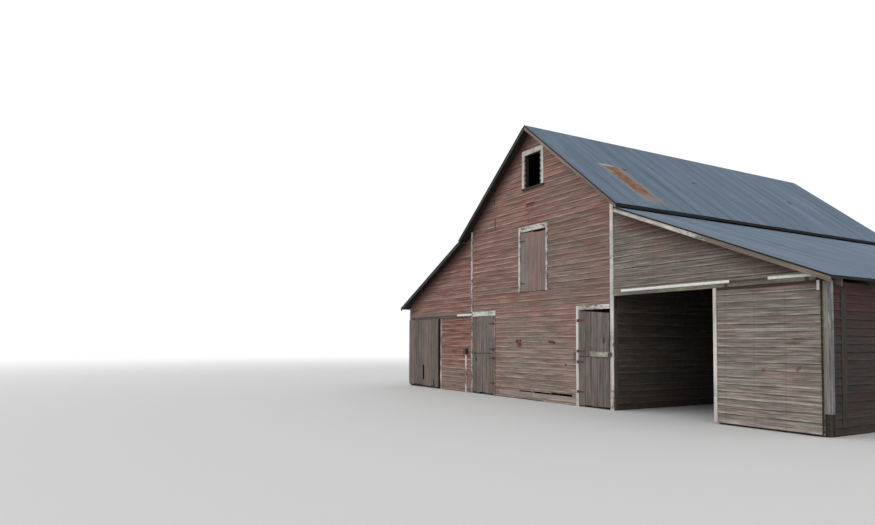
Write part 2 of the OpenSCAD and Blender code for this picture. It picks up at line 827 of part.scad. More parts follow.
// The frame on the back of a sliding leaf, with one long brace
module slide_frame(xs, zs) {
    w = slide_frame_w;
    inner = [xs[0] + w, zs[0] + w];
    size = [xs[1] - xs[0] - 2 * w, zs[1] - zs[0] - 2 * w];
    lean = w / sin(atan2(size[1], size[0]));
    difference() {
        translate([xs[0], zs[0]]) square([xs[1] - xs[0], zs[1] - zs[0]]);
        translate(inner) square(size);
    }
    polygon([inner, inner + [lean, 0], inner + size, inner + size - [lean, 0]]);
}

module slide_leaf(s) {
    skin = [y_slide - slide_frame_t - slide_skin_t, y_slide - slide_frame_t];
    along_y(y_slide - slide_frame_t, y_slide) slide_frame(x_leaf[s], slide_z[s]);
    block(x_leaf[s], skin, slide_z[s]);
}

module left_sliding_door() {
    color("dimgray") slide_leaf(LEFT);
}

module right_sliding_door() {
    front = y_slide - slide_frame_t - slide_skin_t;
    color("rosybrown") slide_leaf(RIGHT);
    color("white") block([x_leaf[RIGHT][0], x_leaf[RIGHT][0] + stile_w], [front - strap_t, front],
        slide_z[RIGHT]);
}

// A foot plate on the leaf, a strap up through the rail's slot and a roller on the rail's lips
module hanger(s, x) {
    y = y_track - rail_d / 2;
    foot = slide_z[s][1];
    lip = rail_z[s] - rail_h / 2 + rail_t;
    roller_z = lip + roller_r + seat_clear;
    block([x - hanger_w, x + hanger_w], [y - hanger_w / 4, y + hanger_w / 4], [foot, foot + hanger_t]);
    block([x - hanger_w / 2, x + hanger_w / 2], [y - hanger_t / 2, y + hanger_t / 2],
        [foot, roller_z]);
    reach = rail_d / 2 - rail_t - hanger_clear;
    for (dx = [-hanger_w / 4, hanger_w / 4])
        translate([x + dx, y + reach, roller_z]) rotate([90, 0, 0])
            cylinder(r = roller_r, h = 2 * reach);
}

module hangers(s) {
    color("gray") for (x = [x_leaf[s][0] + hanger_inset, x_leaf[s][1] - hanger_inset])
        hanger(s, x);
}

// Tracks

// The rail's section: a channel with a slot in its underside, its back on the track board
module rail_outline(s) {
    translate([y_track - rail_d, rail_z[s] - rail_h / 2]) difference() {
        square([rail_d, rail_h]);
        translate([rail_t, rail_t]) square([rail_d - 2 * rail_t, rail_h - 2 * rail_t]);
        translate([(rail_d - rail_slot) / 2, -past]) square([rail_slot, rail_t + 2 * past]);
    }
}

// The half-round cover's section, open below where the hangers pass
module cover_outline(s) {
    open = rail_d / 2 + rail_slot;
    translate([y_track, rail_z[s]]) difference() {
        circle(r = cover_r);
        circle(r = cover_r - cover_t);
        translate([0, -2 * cover_r]) square([2 * cover_r, 4 * cover_r]);
        translate([-open, -2 * cover_r]) square([open, 2 * cover_r]);
    }
}

module left_track_board() {
    color("darkseagreen") block([x_out[LEFT] + end_board_w, x_in[LEFT]], [y_track, y_front],
        [left_bay_h, left_bay_h + left_board_h]);
}

module left_rail() {
    color("gray") along_x(x_left_rail[0], x_left_rail[1]) rail_outline(LEFT);
}

module right_track_board() {
    color("darkseagreen") block([x_in[RIGHT], x_right_rail[1]], [y_track, y_front],
        [right_bay_h, right_board_top]);
}

module right_rail() {
    color("gray") along_x(x_right_rail[0], x_right_rail[1]) rail_outline(RIGHT);
}

module rail_covers() {
    left_end = x_in[LEFT] + left_cover_over;
    first_end = x_right_rail[0] + cover_len;
    color("white") {
        along_x(left_end - left_cover_len, left_end) cover_outline(LEFT);
        along_x(x_right_rail[0], first_end) cover_outline(RIGHT);
        along_x(first_end + cover_break, x_right_rail[1]) cover_outline(RIGHT);
    }
}

front_wall_middle();
front_gable_wall();
front_posts();
left_front_wall();
left_front_upper_wall();
right_front_wall();
right_front_upper_wall();
lean_side_wall(LEFT);  // left_side_wall
lean_side_wall(RIGHT);  // right_side_wall
back_gable_wall();
back_lean_walls();
main_side_wall();
row_posts();
row_beam();
knee_braces();
tie_beams();
main_rafters();
ridge_board();
lean_rafters(LEFT);  // left_rafters
lean_rafters(RIGHT);  // right_rafters
main_roof(LEFT);  // main_roof_left
main_roof(RIGHT);  // main_roof_right
ridge_cap();
lean_roof(LEFT);  // left_lean_roof
lean_roof(RIGHT);  // right_lean_roof
rake_boards(LEFT);  // left_rake_boards
rake_boards(RIGHT);  // right_rake_boards
main_corner_boards();
end_corner_boards();
door_casings();
hay_door_casing();
hay_door();
window_casing();
bay_casing();
skirt_boards();
upright_boards();
outlet_box();
left_track_board();
left_rail();
right_track_board();
right_rail();
rail_covers();
hinge_pins();
door_leaf(LEFT, 1);  // left_door_upper
door_leaf(LEFT, 0);  // left_door_lower
door_leaf(RIGHT, 1);  // right_door_upper
door_leaf(RIGHT, 0);  // right_door_lower
latch_bar();
left_sliding_door();
right_sliding_door();
hangers(LEFT);  // left_hangers
hangers(RIGHT);  // right_hangers
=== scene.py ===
"""Timber barn with two lean-tos: lap siding, plank doors, sheet roofs and their finishes.

Everything is in metres: X to the right along the front, Y from the front to the back, Z up. Here X
is measured from the middle between the outer walls, and place() moves it into the solids' frame.
"""
import math
import random

import bmesh
import bpy
from mathutils import Matrix, Vector


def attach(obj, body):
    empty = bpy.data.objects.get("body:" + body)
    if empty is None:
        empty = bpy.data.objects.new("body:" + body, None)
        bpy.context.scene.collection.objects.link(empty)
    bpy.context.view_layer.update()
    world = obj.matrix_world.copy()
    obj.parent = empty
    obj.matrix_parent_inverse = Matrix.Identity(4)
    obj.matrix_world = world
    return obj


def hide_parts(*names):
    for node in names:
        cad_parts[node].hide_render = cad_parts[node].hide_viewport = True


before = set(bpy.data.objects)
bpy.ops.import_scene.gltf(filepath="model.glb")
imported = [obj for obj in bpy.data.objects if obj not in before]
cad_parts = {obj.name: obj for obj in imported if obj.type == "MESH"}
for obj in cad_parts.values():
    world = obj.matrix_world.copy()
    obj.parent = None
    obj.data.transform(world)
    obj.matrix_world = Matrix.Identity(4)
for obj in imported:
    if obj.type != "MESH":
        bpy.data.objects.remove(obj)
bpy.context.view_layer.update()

# Places of the building, in metres; in a pair the left side comes first. MID is where the walls'
# middle lies in the solids' frame.
MID = 0.045
SIDES = ("left", "right")
X_OUT, X_IN = (-7.59, 7.59), (-3.53, 2.61)
X_RIDGE = (X_IN[0] + X_IN[1]) / 2
Y_FRONT, Y_BACK, WALL_T = -6.1, 6.1, 0.1
RIDGE_Z, EAVE_Z, EAVE_OUT, LEAN_OUT, RAKE_OUT = 7.62, 4.85, 0.33, (0.28, 0.19), 0.28
Y_EDGE = Y_BACK + RAKE_OUT
ROOF_T = 0.03
MAIN_RUN = (X_IN[1] - X_IN[0]) / 2 + EAVE_OUT
MAIN_SLOPE = (RIDGE_Z - EAVE_Z) / MAIN_RUN
MAIN_V = ROOF_T * math.hypot(1, MAIN_SLOPE)
LEAN_START = (EAVE_Z - MAIN_V - 0.012, EAVE_Z - MAIN_V - 0.080)
LEAN_TIP = (2.84, 2.75)
LEAN_REACH = tuple(abs(X_OUT[s] - X_IN[s]) + LEAN_OUT[s] for s in (0, 1))
LEAN_SLOPE = tuple((LEAN_START[s] - LEAN_TIP[s]) / (LEAN_REACH[s] - EAVE_OUT) for s in (0, 1))
LEAN_V = tuple(ROOF_T * math.hypot(1, k) for k in LEAN_SLOPE)
LEAN_TOP = tuple(LEAN_START[s] + LEAN_SLOPE[s] * EAVE_OUT for s in (0, 1))
MAIN_ANGLE, LEAN_ANGLE = math.atan(MAIN_SLOPE), tuple(math.atan(k) for k in LEAN_SLOPE)
STUDS = 0.61
DOOR_H = 2.41
LEFT_DOOR, RIGHT_DOOR = (-3.41, -2.28), (1.42, 2.49)
LEFT_BAY, RIGHT_BAY = (-7.47, -5.50), (2.61, 5.43)
HAY = (-0.98, 0.14, 3.0, 4.7)
WINDOW = (-0.74, -0.10, 5.93, 6.87)

# Siding boards: 6 in stock laid to show 144 mm, with a 19 mm lip and a 5 mm upper edge, up to 4.9 m
# long, from 20 mm over the ground
SHOW, TUCK, LIP, THIN, LONGEST, SIDING_FOOT = 0.144, 0.010, 0.019, 0.005, 4.9, 0.02
# Widths of the corner boards on the tall part and at the outer corners
CORNER_W, END_W = 0.12, 0.09
# Thickness of trim, of door planks and of the frames of sliding leaves
TRIM_T, PLANK_T, FRAME_T = 0.028, 0.028, 0.038
# Faces of the swinging leaves, middle of their hinge pins, and inner face of the sliding leaves
Y_LEAF, Y_PIN, Y_SLIDE = -6.134, -6.145, -6.136
# Length of a strap hinge, and half the height of a ledge
STRAP_LEN, LEDGE = 0.2, 0.06

# How boards lie: along their length, across it, and out of the wall
UP, RIGHTWARDS, LEFTWARDS, BACKWARDS, FORWARDS = (0, 0, 1), (1, 0, 0), (-1, 0, 0), (0, 1, 0), (0, -1, 0)
UPRIGHT, LYING = (UP, RIGHTWARDS, FORWARDS), (RIGHTWARDS, UP, FORWARDS)
RNG = random.Random(1913)


def main_under(x):
    """Height of the tall roof's underside."""
    return RIDGE_Z - MAIN_SLOPE * abs(x - X_RIDGE) - MAIN_V


def lean_under(s, x):
    """Height of a lean-to roof's underside."""
    return LEAN_START[s] - LEAN_SLOPE[s] * (abs(x - X_IN[s]) - EAVE_OUT) - LEAN_V[s]


def lean_plate(s):
    """Height of a lean-to's outer wall."""
    return lean_under(s, X_OUT[s]) - 0.14 * math.hypot(1, LEAN_SLOPE[s]) + 0.034


def slope_axes(side, angle):
    """The ways down a roof's slope and out of it."""
    return (side * math.cos(angle), 0, -math.sin(angle)), (side * math.sin(angle), 0, math.cos(angle))


def aim_camera():
    """The camera at the photograph's place: at eye height, looking slightly up."""
    turn, tilt, roll = math.radians(59.61), math.radians(2.09), math.radians(0.25)
    flat = Vector((-math.sin(turn), math.cos(turn), 0))
    right = Vector((math.cos(turn), math.sin(turn), 0))
    ahead = flat * math.cos(tilt) + Vector(UP) * math.sin(tilt)
    over = Vector(UP) * math.cos(tilt) - flat * math.sin(tilt)
    across = right * math.cos(roll) + over * math.sin(roll)
    over = over * math.cos(roll) - right * math.sin(roll)
    made = bpy.data.objects.new("camera", bpy.data.cameras.new("camera"))
    made.matrix_world = Matrix((across, over, -ahead)).transposed().to_4x4()
    made.matrix_world.translation = (13.86 + MID, -17.54, 1.6)
    made.data.lens = 26.96
    made.data.sensor_width = 36
    made.data.shift_y = 0.0632
    made.data.clip_end = 400
    bpy.context.scene.collection.objects.link(made)
    bpy.context.scene.camera = made


# Nodes and colours

# Where two or three colours lie on a ramp when their places aren't given
STOPS = {2: (0.35, 0.6), 3: (0.32, 0.5, 0.68)}


def linear(code):
    """A hex sRGB colour as linear RGBA."""
    parts = [int(code[i:i + 2], 16) / 255 for i in (1, 3, 5)]
    return tuple(c / 12.92 if c <= 0.04045 else ((c + 0.055) / 1.055) ** 2.4 for c in parts) + (1,)


def add(tree, kind, *inputs, links=None, stops=None, **settings):
    """Adds a node. Its kind may be followed by its operation or type of data.

    Inputs fill the sockets in their order, and links name theirs. A link comes from a node's first
    output, or from (node, output). Stops are a ramp's colour codes, alone or with their places.
    """
    kind, _, sort = kind.partition(" ")
    made = tree.nodes.new(kind if kind.startswith(("Geometry", "NodeGroup")) else "ShaderNode" + kind)
    if sort:
        settings["operation" if hasattr(made, "operation") else "data_type"] = sort
    for key, value in settings.items():
        setattr(made, key, value)
    if stops:
        codes, *places = stops if isinstance(stops, tuple) else (stops,)
        codes = codes.split()
        edges = made.color_ramp.elements
        while len(edges) < len(codes):
            edges.new(0.5)
        for edge, spot, code in zip(edges, places or STOPS[len(codes)], codes):
            edge.position = spot
            edge.color = linear(code)
    sockets = [s for s in made.inputs if s.enabled]
    named = [(next(s for s in sockets if s.name == key), value) for key, value in (links or {}).items()]
    for socket, value in [*zip(sockets, inputs), *named]:
        if isinstance(value, bpy.types.Node):
            tree.links.new(next(s for s in value.outputs if s.enabled), socket)
        elif isinstance(value, tuple) and isinstance(value[0], bpy.types.Node):
            tree.links.new(value[0].outputs[value[1]], socket)
        else:
            socket.default_value = value
    return made


def new_material(name):
    """An empty material and its tree."""
    made = bpy.data.materials.new(name)
    made.use_nodes = True
    made.node_tree.nodes.clear()
    return made, made.node_tree


def close(tree, colour, height, depth, roughness, metallic=0.0, ior=1.5):
    """Ends a material: its shader, its bump in metres and its output."""
    bump = add(tree, "Bump", links={"Height": height, "Distance": depth, "Strength": 0.8})
    add(tree, "OutputMaterial", add(tree, "BsdfPrincipled", links={
        "Base Color": colour, "Roughness": roughness, "Metallic": metallic, "IOR": ior, "Normal": bump}))


def grain_place(tree, solid):
    """Where a point lies on its board: along the grain, across it, and 0 to 1 over its width.

    A laid board carries this. On a solid it is worked out for grain along X or along Z.
    """
    if not solid:
        return add(tree, "Attribute", attribute_name="grain", attribute_type="GEOMETRY"), "Vector"
    at = add(tree, "SeparateXYZ", (add(tree, "TexCoord"), "Object"))
    along, one, two = "XZY" if solid == "X" else "ZXY"
    return add(tree, "CombineXYZ", (at, along), add(tree, "Math ADD", (at, one), (at, two)), 0.4), 0


def near(tree, at, centre, half, ragged=None):
    """1 inside an ellipsoid and 0 outside it, with an edge that a noise may tear."""
    off = add(tree, "VectorMath SUBTRACT", (at, "Object"), (centre[0] + MID, *centre[1:]))
    off = add(tree, "VectorMath MULTIPLY", off, tuple(1 / h for h in half))
    off = add(tree, "VectorMath LENGTH", off)
    if ragged:
        off = add(tree, "Math MULTIPLY_ADD", ragged, 1.6, off)
    return add(tree, "MapRange", off, *((2.0, 1.45) if ragged else (1.15, 0.55)))


def marks(y, *each):
    """Marks on the upright face at y, given as x, z, half the width, half the height and a value."""
    return [((x, y, z), (wide, 1.0, tall), value) for x, z, wide, tall, value in each]


def wood(name, bare, paint=None, solid=None, keep=0.0, lap=False, flake=(6, 30), tone=(0.8, 1.18),
         patches=(), spots=(), soften=0.1, ring=0.7, weather=0.16, nails=False, roof_shade=(), lip_bleach_and_highlight="#c2b7af"):
    """Weathered wood, with paint where it is kept.

    bare and paint are the stops of the two colours. solid is the grain's axis on a solid that keeps
    its own shape. keep is the share of paint that is left, soften is how gently it ends, ring is how
    far it follows the growth rings, and flake is how many flakes go into a metre along and across
    the grain. A patch is a place, half sizes and how much paint it adds, and a spot is a place, half
    sizes and the colour of a stain. tone is the range of the boards' own tones, and weather is how
    far the tone strays along a board. lap is for lap siding, lip_bleach_and_highlight is the colour
    of its lips where rain has bleached them and a painted highlight lights them, and nails draws the
    lines of nails over the studs. roof_shade gives the roof slopes that a dark red strip of painted
    shade lies under, as (slope along X, X, Z).
    """
    made, tree = new_material(name)
    grain = grain_place(tree, solid)
    at = add(tree, "TexCoord")
    grained = lambda along, across, detail, rough=0.5: add(
        tree, "TexNoise", add(tree, "VectorMath MULTIPLY", grain, (along, across, 0)), 1.0, detail, rough)
    # Growth rings lie a few millimetres apart and are drawn 30 mm apart so that they show
    streaks, checks, flakes = grained(1.3, 30, 7, 0.7), grained(3.5, 150, 3), grained(*flake, 8, 0.72)
    # Torn edges stray over 60 mm, and blotches are nearly a metre wide
    torn, blotch = (add(tree, "TexNoise", (at, "Object"), scale, 4.0, rough)
                    for scale, rough in ((17.0, 0.7), (1.3, 0.6)))
    colour = add(tree, "ValToRGB", streaks, stops=bare)
    if paint:
        kept = add(tree, "Math MULTIPLY_ADD", streaks, ring, keep - (ring + 1.6) / 2)
        for source, weight in ((flakes, 0.9), (blotch, 0.7)):
            kept = add(tree, "Math MULTIPLY_ADD", source, weight, kept)
        if not solid:
            own = add(tree, "Attribute", attribute_name="paint", attribute_type="GEOMETRY")
            kept = add(tree, "Math ADD", (own, "Fac"), kept)
        for centre, half, extra in patches:
            kept = add(tree, "Math MULTIPLY_ADD", near(tree, at, centre, half, torn), extra, kept)
        mask = add(tree, "MapRange", kept, 0.5 - soften, 0.5 + soften, interpolation_type="SMOOTHSTEP")
        tint = add(tree, "ValToRGB", grained(1.1, 14, 5), stops=paint)
        colour = add(tree, "Mix RGBA", mask, colour, tint)
    # Large stains, fine checks and the weather change the tone, and each board has its own
    tones = [(blotch, 0.3, 0.7, 0.9, 1.1), (checks, 0.28, 0.46, 0.72, 1.0),
             (grained(0.7, 13, 4, 0.65), 0.34, 0.66, 1 - weather, 1 + weather)]
    if not solid:
        own = add(tree, "Attribute", attribute_name="tone", attribute_type="GEOMETRY")
        tones.append(((own, "Fac"), 0.0, 1.0, *tone))
    if lap:
        # The strip under the next board's lip is dark with dirt and painted shade, and the lips are pale in
        # places, bleached by rain and lit by a painted highlight
        width = (add(tree, "SeparateXYZ", grain), "Z")
        gap = add(tree, "MapRange", grained(1.1, 9, 2), 0.36, 0.62, 0.1, 0.85)
        tones.append((width, 0.83, 0.92, 1.0, gap))
        bleach_and_highlight = add(tree, "Math MULTIPLY", add(tree, "MapRange", width, 0.30, 0.04),
                     add(tree, "MapRange", flakes, 0.42, 0.6, 0.0, 0.75))
        colour = add(tree, "Mix RGBA", bleach_and_highlight, colour, linear(lip_bleach_and_highlight))
    if nails:
        # Nails over the studs have left faint dark lines down the boards
        along = (add(tree, "SeparateXYZ", (at, "Object")), "X")
        for step, *given in (("MULTIPLY_ADD", 1 / STUDS, 0.18), ("WRAP", 0.0, 1.0), ("SUBTRACT", 0.5),
                             ("ABSOLUTE",)):
            along = add(tree, "Math " + step, along, *given)
        tones.append((along, 0.008, 0.035, 0.88, 1.0))
    value, *rest = [add(tree, "MapRange", *each) for each in tones]
    for each in rest:
        value = add(tree, "Math MULTIPLY", value, each)
    # Lichen and damp tinge whole stretches of wall green or red
    tinge = add(tree, "ValToRGB", grained(0.9, 5, 3), stops=("#f4f8f3 #fff2ee", 0.36, 0.64))
    colour = add(tree, "Mix RGBA", 1.0, colour, tinge, blend_type="MULTIPLY")
    colour = add(tree, "HueSaturation", links={"Color": colour, "Value": value})
    # Painted shade: a dark red strip on the wall under the roof slopes, where their overhang shades it
    if roof_shade:
        painted_shade = 0.0
        for slope, x, z in roof_shade:
            deep = add(tree, "VectorMath DOT_PRODUCT", (at, "Object"), (slope, 0, -1))
            deep = add(tree, "Math ADD", deep, z - slope * (x + MID))
            painted_shade = add(tree, "Math MAXIMUM", deep, painted_shade)
        painted_shade = add(tree, "Math MULTIPLY_ADD", torn, 0.3, painted_shade)
        painted_shade = add(tree, "MapRange", painted_shade, 0.72, 0.2, 0.0, 0.85)
        colour = add(tree, "Mix RGBA", painted_shade, colour, linear("#4a2b2a"))
    for centre, half, code in spots:
        colour = add(tree, "Mix RGBA", near(tree, at, centre, half, torn), colour, linear(code))
    close(tree, colour, add(tree, "Math ADD", streaks, checks), 0.003, 0.88)
    return made


def galvanised(name, sheets):
    """Hot-dipped steel sheet, gone dull and chalky, with water marks down the slope."""
    made, tree = new_material(name)
    at = add(tree, "TexCoord")
    spot = add(tree, "SeparateXYZ", (at, "Object"))
    runs = add(tree, "VectorMath MULTIPLY", (at, "Object"), (0.35, 3.2, 0.35))
    water = add(tree, "TexNoise", runs, 1.0, 6.0, 0.6)
    cloud = add(tree, "TexNoise", (at, "Object"), 0.8, 3.0)
    grit = add(tree, "TexNoise", (at, "Object"), 6.0, 6.0, 0.7)
    colour = add(tree, "ValToRGB", water, stops=("#5a6a7b #657689 #728498", 0.3, 0.5, 0.7))
    # Rust has run down one sheet from a broken lap 4.72 m before the barn's middle: a brown core with
    # a pale, leached border, on the tall part's slope alone
    middle = add(tree, "Math ABSOLUTE", add(tree, "Math ADD", (spot, "Y"), 4.72))
    middle = add(tree, "Math MULTIPLY_ADD", grit, 0.7, middle)
    above = add(tree, "Math GREATER_THAN", (spot, "Z"), EAVE_Z + 0.01)
    brown = add(tree, "ValToRGB", grit, stops=("#6a4b3b #80583f #976f50", 0.38, 0.5, 0.62))
    for wide, slim, stop, tint in ((0.84, 0.62, (2.9, 2.5), linear("#908c84")),
                                   (0.7, 0.5, (2.65, 2.2), brown)):
        band = add(tree, "MapRange", middle, wide, slim)
        for start, end in ((1.0 + MID, 1.14 + MID), stop):
            band = add(tree, "Math MULTIPLY", band, add(tree, "MapRange", (spot, "X"), start, end))
        band = add(tree, "Math MULTIPLY", band, above)
        colour = add(tree, "Mix RGBA", band, colour, tint)
    # A bright lap over the rust, a few tar spots and patches
    for x, y, z, half, code in ((1.08, -4.8, 6.36, (0.05, 0.34, 0.2), "#a9aaa6"),
                                (1.16, -4.2, 6.3, (0.05, 0.10, 0.2), "#3a3a3c"),
                                (1.18, -1.38, 6.3, (0.05, 0.12, 0.2), "#3f4247"),
                                (1.3, 3.15, 6.2, (0.13, 0.10, 0.2), "#3f4247")):
        colour = add(tree, "Mix RGBA", near(tree, at, (x, y, z), half), colour, linear(code))
    value = add(tree, "MapRange", cloud, 0.3, 0.7, 0.95, 1.05)
    if sheets:
        own = (add(tree, "Attribute", attribute_name="tone", attribute_type="GEOMETRY"), "Fac")
        value = add(tree, "Math MULTIPLY", value, add(tree, "MapRange", own, 0.0, 1.0, 0.975, 1.02))
    else:
        # The faces that look down or outwards are the boards under the sheets, dark brown with painted shade
        normal = add(tree, "SeparateXYZ", (add(tree, "NewGeometry"), "Normal"))
        up = add(tree, "Math GREATER_THAN", (normal, "Z"), 0.3)
        colour = add(tree, "Mix RGBA", up, linear("#2a2522"), colour)
    colour = add(tree, "HueSaturation", links={"Color": colour, "Value": value})
    close(tree, colour, water, 0.0006, 0.75, ior=1.3)
    return made


def plain_coat(name, stops, roughness, metallic=0.0):
    """A coat or bare metal with small stains, rough where it has gone dull."""
    made, tree = new_material(name)
    stains = add(tree, "TexNoise", (add(tree, "TexCoord"), "Object"), 18.0, 6.0, 0.65)
    rough = add(tree, "MapRange", stains, 0.3, 0.7, roughness - 0.1, roughness + 0.1)
    close(tree, add(tree, "ValToRGB", stains, stops=stops), stains, 0.0006, rough, metallic)
    return made


# Finishes

DARK_WOOD = "#46403b #5f5852 #7a736c"
BARN_RED = ("#75443d #8b5f57 #a57f76", 0.35, 0.5, 0.68)
WHITE_OIL = "#b6b6b5 #dcdcda"

# Sawn pine siding in red oil paint that has worn off to silver-grey wood: matt, with red left in the
# grain, dirt and painted shade under the laps, a dark red strip of painted shade under the roofs, and
# a few dark marks
SIDING = wood(
    "red_siding", ("#62534d #877870 #ab9d94", 0.34, 0.5, 0.66), BARN_RED, lap=True, keep=0.40,
    flake=(1.6, 26), soften=0.55, tone=(0.84, 1.14), weather=0.2,
    roof_shade=((MAIN_SLOPE, X_RIDGE, RIDGE_Z - MAIN_V),
           (LEAN_SLOPE[0], X_IN[0] - EAVE_OUT, LEAN_START[0] - LEAN_V[0])),
    patches=marks(
        Y_FRONT, (-4.6, 1.95, 0.95, 0.75, 0.6), (-5.0, 1.95, 0.6, 0.5, 0.7), (-4.4, 4.1, 1.6, 0.35, 0.3),
        (-0.3, 1.1, 1.75, 1.05, -0.36), (-4.6, 0.45, 0.95, 0.4, -0.3), (0.9, 3.6, 1.3, 0.8, -0.2),
        (1.9, 4.1, 0.3, 0.14, 0.25), (-1.8, 2.9, 0.8, 0.15, 0.3), (-0.62, 5.42, 0.45, 0.3, 0.4),
        (-0.3, 5.0, 0.5, 0.12, 0.25), (1.27, 1.26, 0.16, 0.2, -0.6), (1.28, 0.4, 0.15, 0.2, -0.6)),
    spots=marks(
        Y_FRONT, (-1.02, 1.53, 0.12, 0.07, "#6b2f2a"), (-1.12, 1.63, 0.07, 0.05, "#3a2223"),
        (-0.98, 1.64, 0.05, 0.04, "#4a2626"), (0.34, 1.61, 0.12, 0.05, "#67362f"),
        (0.47, 1.59, 0.07, 0.04, "#4f2a27"), (0.93, 1.02, 0.04, 0.03, "#3c302d"),
        (-2.21, 5.15, 0.025, 0.22, "#4b2f2c"), (-2.24, 5.88, 0.025, 0.16, "#4b2f2c"),
        (1.26, 1.26, 0.07, 0.15, "#66605e")))
# The same siding at the right, bleached by the sun: nearly bare, with lips pale from bleaching and a
# painted highlight, thin pale lines that are painted highlights, and lines of nails
SIDING_PALE = wood(
    "weathered_siding", ("#5d5650 #827a74 #ada6a0", 0.34, 0.5, 0.66), BARN_RED, lap=True, keep=0.14,
    flake=(1.6, 26), soften=0.3, weather=0.2, nails=True, lip_bleach_and_highlight="#c9c3bc",
    roof_shade=((-LEAN_SLOPE[1], X_IN[1] + EAVE_OUT, LEAN_START[1] - LEAN_V[1]),),
    patches=marks(
        -6.2, (6.3, 1.93, 0.8, 0.09, 0.22), (5.6, 1.35, 0.35, 0.9, 0.24), (6.9, 0.95, 0.4, 0.05, 0.16),
        (5.75, 0.35, 0.25, 0.08, 0.24), (6.3, 2.62, 1.2, 0.09, 0.35), (6.7, 0.98, 0.5, 0.05, 0.35))
    + marks(Y_FRONT, (4.9, 3.75, 1.6, 0.35, 0.3), (3.3, 4.3, 0.5, 0.2, 0.35)),
    # Among the spots, the thin pale lines are painted highlights
    spots=marks(
        -6.2, (6.43, 1.10, 0.04, 0.035, "#80574f"), (7.08, 1.14, 0.035, 0.045, "#7e534b"),
        (7.12, 1.17, 0.025, 0.025, "#5d4440"), (6.3, 1.862, 1.1, 0.012, "#a8a19a"),
        (5.9, 0.9, 0.5, 0.01, "#aaa49d"), (6.9, 0.55, 0.5, 0.012, "#a8a19a"),
        (7.0, 1.6, 0.15, 0.03, "#5a544e"), (7.1, 1.68, 0.12, 0.015, "#554f49")))
# The same boards in the shade of the lean-to, where the paint was never renewed, in darker colours that are
# painted shade
SIDING_SHADE = wood("shaded_siding", "#3a3633 #4d4945 #625e59", "#4b403d #5b504c", lap=True, keep=0.25,
                    soften=0.2, lip_bleach_and_highlight="#7d766f")
# The same boards on the side that faces away from the sun, in dark colours that are painted shade
SIDING_SIDE = wood("side_siding", "#2a2524 #3b3534 #57504c", "#3f2322 #50302d", lap=True, keep=0.30,
                   flake=(1.6, 22), soften=0.2, tone=(0.66, 0.9), lip_bleach_and_highlight="#57504b",
                   patches=(((7.6, -4.5, 2.5), (1.0, 3.5, 0.5), 0.35),))
# Rough sawn framing and the backs of the boards, never painted: dull brown-grey with dust; the wall boards
# behind the siding are darker still, as painted shade where they show through gaps
WALL_BACK = wood("wall_boards", "#2b2725 #3d3834 #524c47", solid="X")
TIMBER = wood("grey_timber", DARK_WOOD, solid="Z")
TIMBER_X = wood("grey_rafters", DARK_WOOD, solid="X")
# The leaves' frames are dark as painted shade, so that the cracks between planks look dark
LEAF_BACK = wood("leaf_frames", "#2d2927 #3f3a36 #544e49")
# Rough sawn planks, greyed by rain, with what is left of a thin red stain in the grain
PLANKS = wood("plank_grey", "#46413f #6e6764 #948c87", "#6b5650 #826c65", keep=0.22, flake=(1.2, 22),
              soften=0.3, tone=(0.74, 1.24), weather=0.22,
              spots=marks(-6.13, (-3.19, 1.07, 0.05, 0.07, "#3b3433"), (-3.25, 1.25, 0.04, 0.05, "#453d3a"),
                          (2.31, 1.65, 0.05, 0.09, "#49423f")))
PLANKS_PINK = wood("plank_pink", "#6a615f #837977 #9a908d", "#7c615c #937873", keep=0.42, flake=(1.2, 20),
                   soften=0.35, tone=(0.86, 1.12), weather=0.1)
# White lead paint on planed boards: it comes off in chips with sharp edges and leaves grey wood
WHITE_TRIM = wood("white_trim", "#4c4540 #736a64 #948c86", WHITE_OIL, keep=0.5, flake=(9, 15),
                  tone=(0.8, 1.08), ring=0.4, weather=0.12)
# The same paint, thin and stained by the red beside it, greyed at the corners, or gone green
PINK_TRIM = wood("pinkish_trim", "#655550 #85736d #a39089", WHITE_OIL, keep=0.3, flake=(4, 16),
                 soften=0.14, tone=(0.82, 1.06), ring=0.4)
BLUE_TRIM = wood("corner_trim", "#525457 #72757a #8c9096", WHITE_OIL, keep=0.2, flake=(4, 22), soften=0.2,
                 tone=(0.45, 1.25), ring=0.5)
GREEN_TRIM = wood("latch_paint", "#6b6a62 #8d8d84 #a8a99e", WHITE_OIL, keep=0.3, flake=(7, 20), soften=0.2)
# Sawn skirt boards over the ground, washed pale by splashes, with traces of red
SKIRT = wood("skirt_trim", "#7b6e69 #a19590 #bdb3ae", BARN_RED, keep=0.14, flake=(3, 24), soften=0.2)
# Sawn boards under the roofs' edges: bare and dark at the left, where their darkness is painted shade,
# and under what is left of thin paint at the right
RAKE_DARK = wood("left_rakes", "#29292b #38393c #4b4d51")
RAKE_PALE = wood("right_rakes", "#5d564f #7b736b #989088", WHITE_OIL, keep=0.1, flake=(2, 22), soften=0.3,
                 ring=0.4, tone=(0.85, 1.1), patches=marks(-6.38, (3.9, 4.3, 1.6, 1.2, 0.38)))
# Sawn boards under the eaves and in the window, nearly black: dark wood with painted shade
EAVE_WOOD = wood("eave_boards", "#141313 #1d1c1c #292727")
# Thin pale green oil paint, brushed on and mostly worn off
TRACK_PAINT = wood("track_paint", "#5f5852 #7f776f #9b938a", "#7e8376 #9ba093", solid="X", keep=0.45,
                   flake=(4, 30), soften=0.2, patches=marks(-6.13, (-5.6, 2.46, 1.9, 0.3, -0.5)))
SHEET = galvanised("galvanised_sheet", True)
SHEET_BASE = galvanised("roof_deck", False)
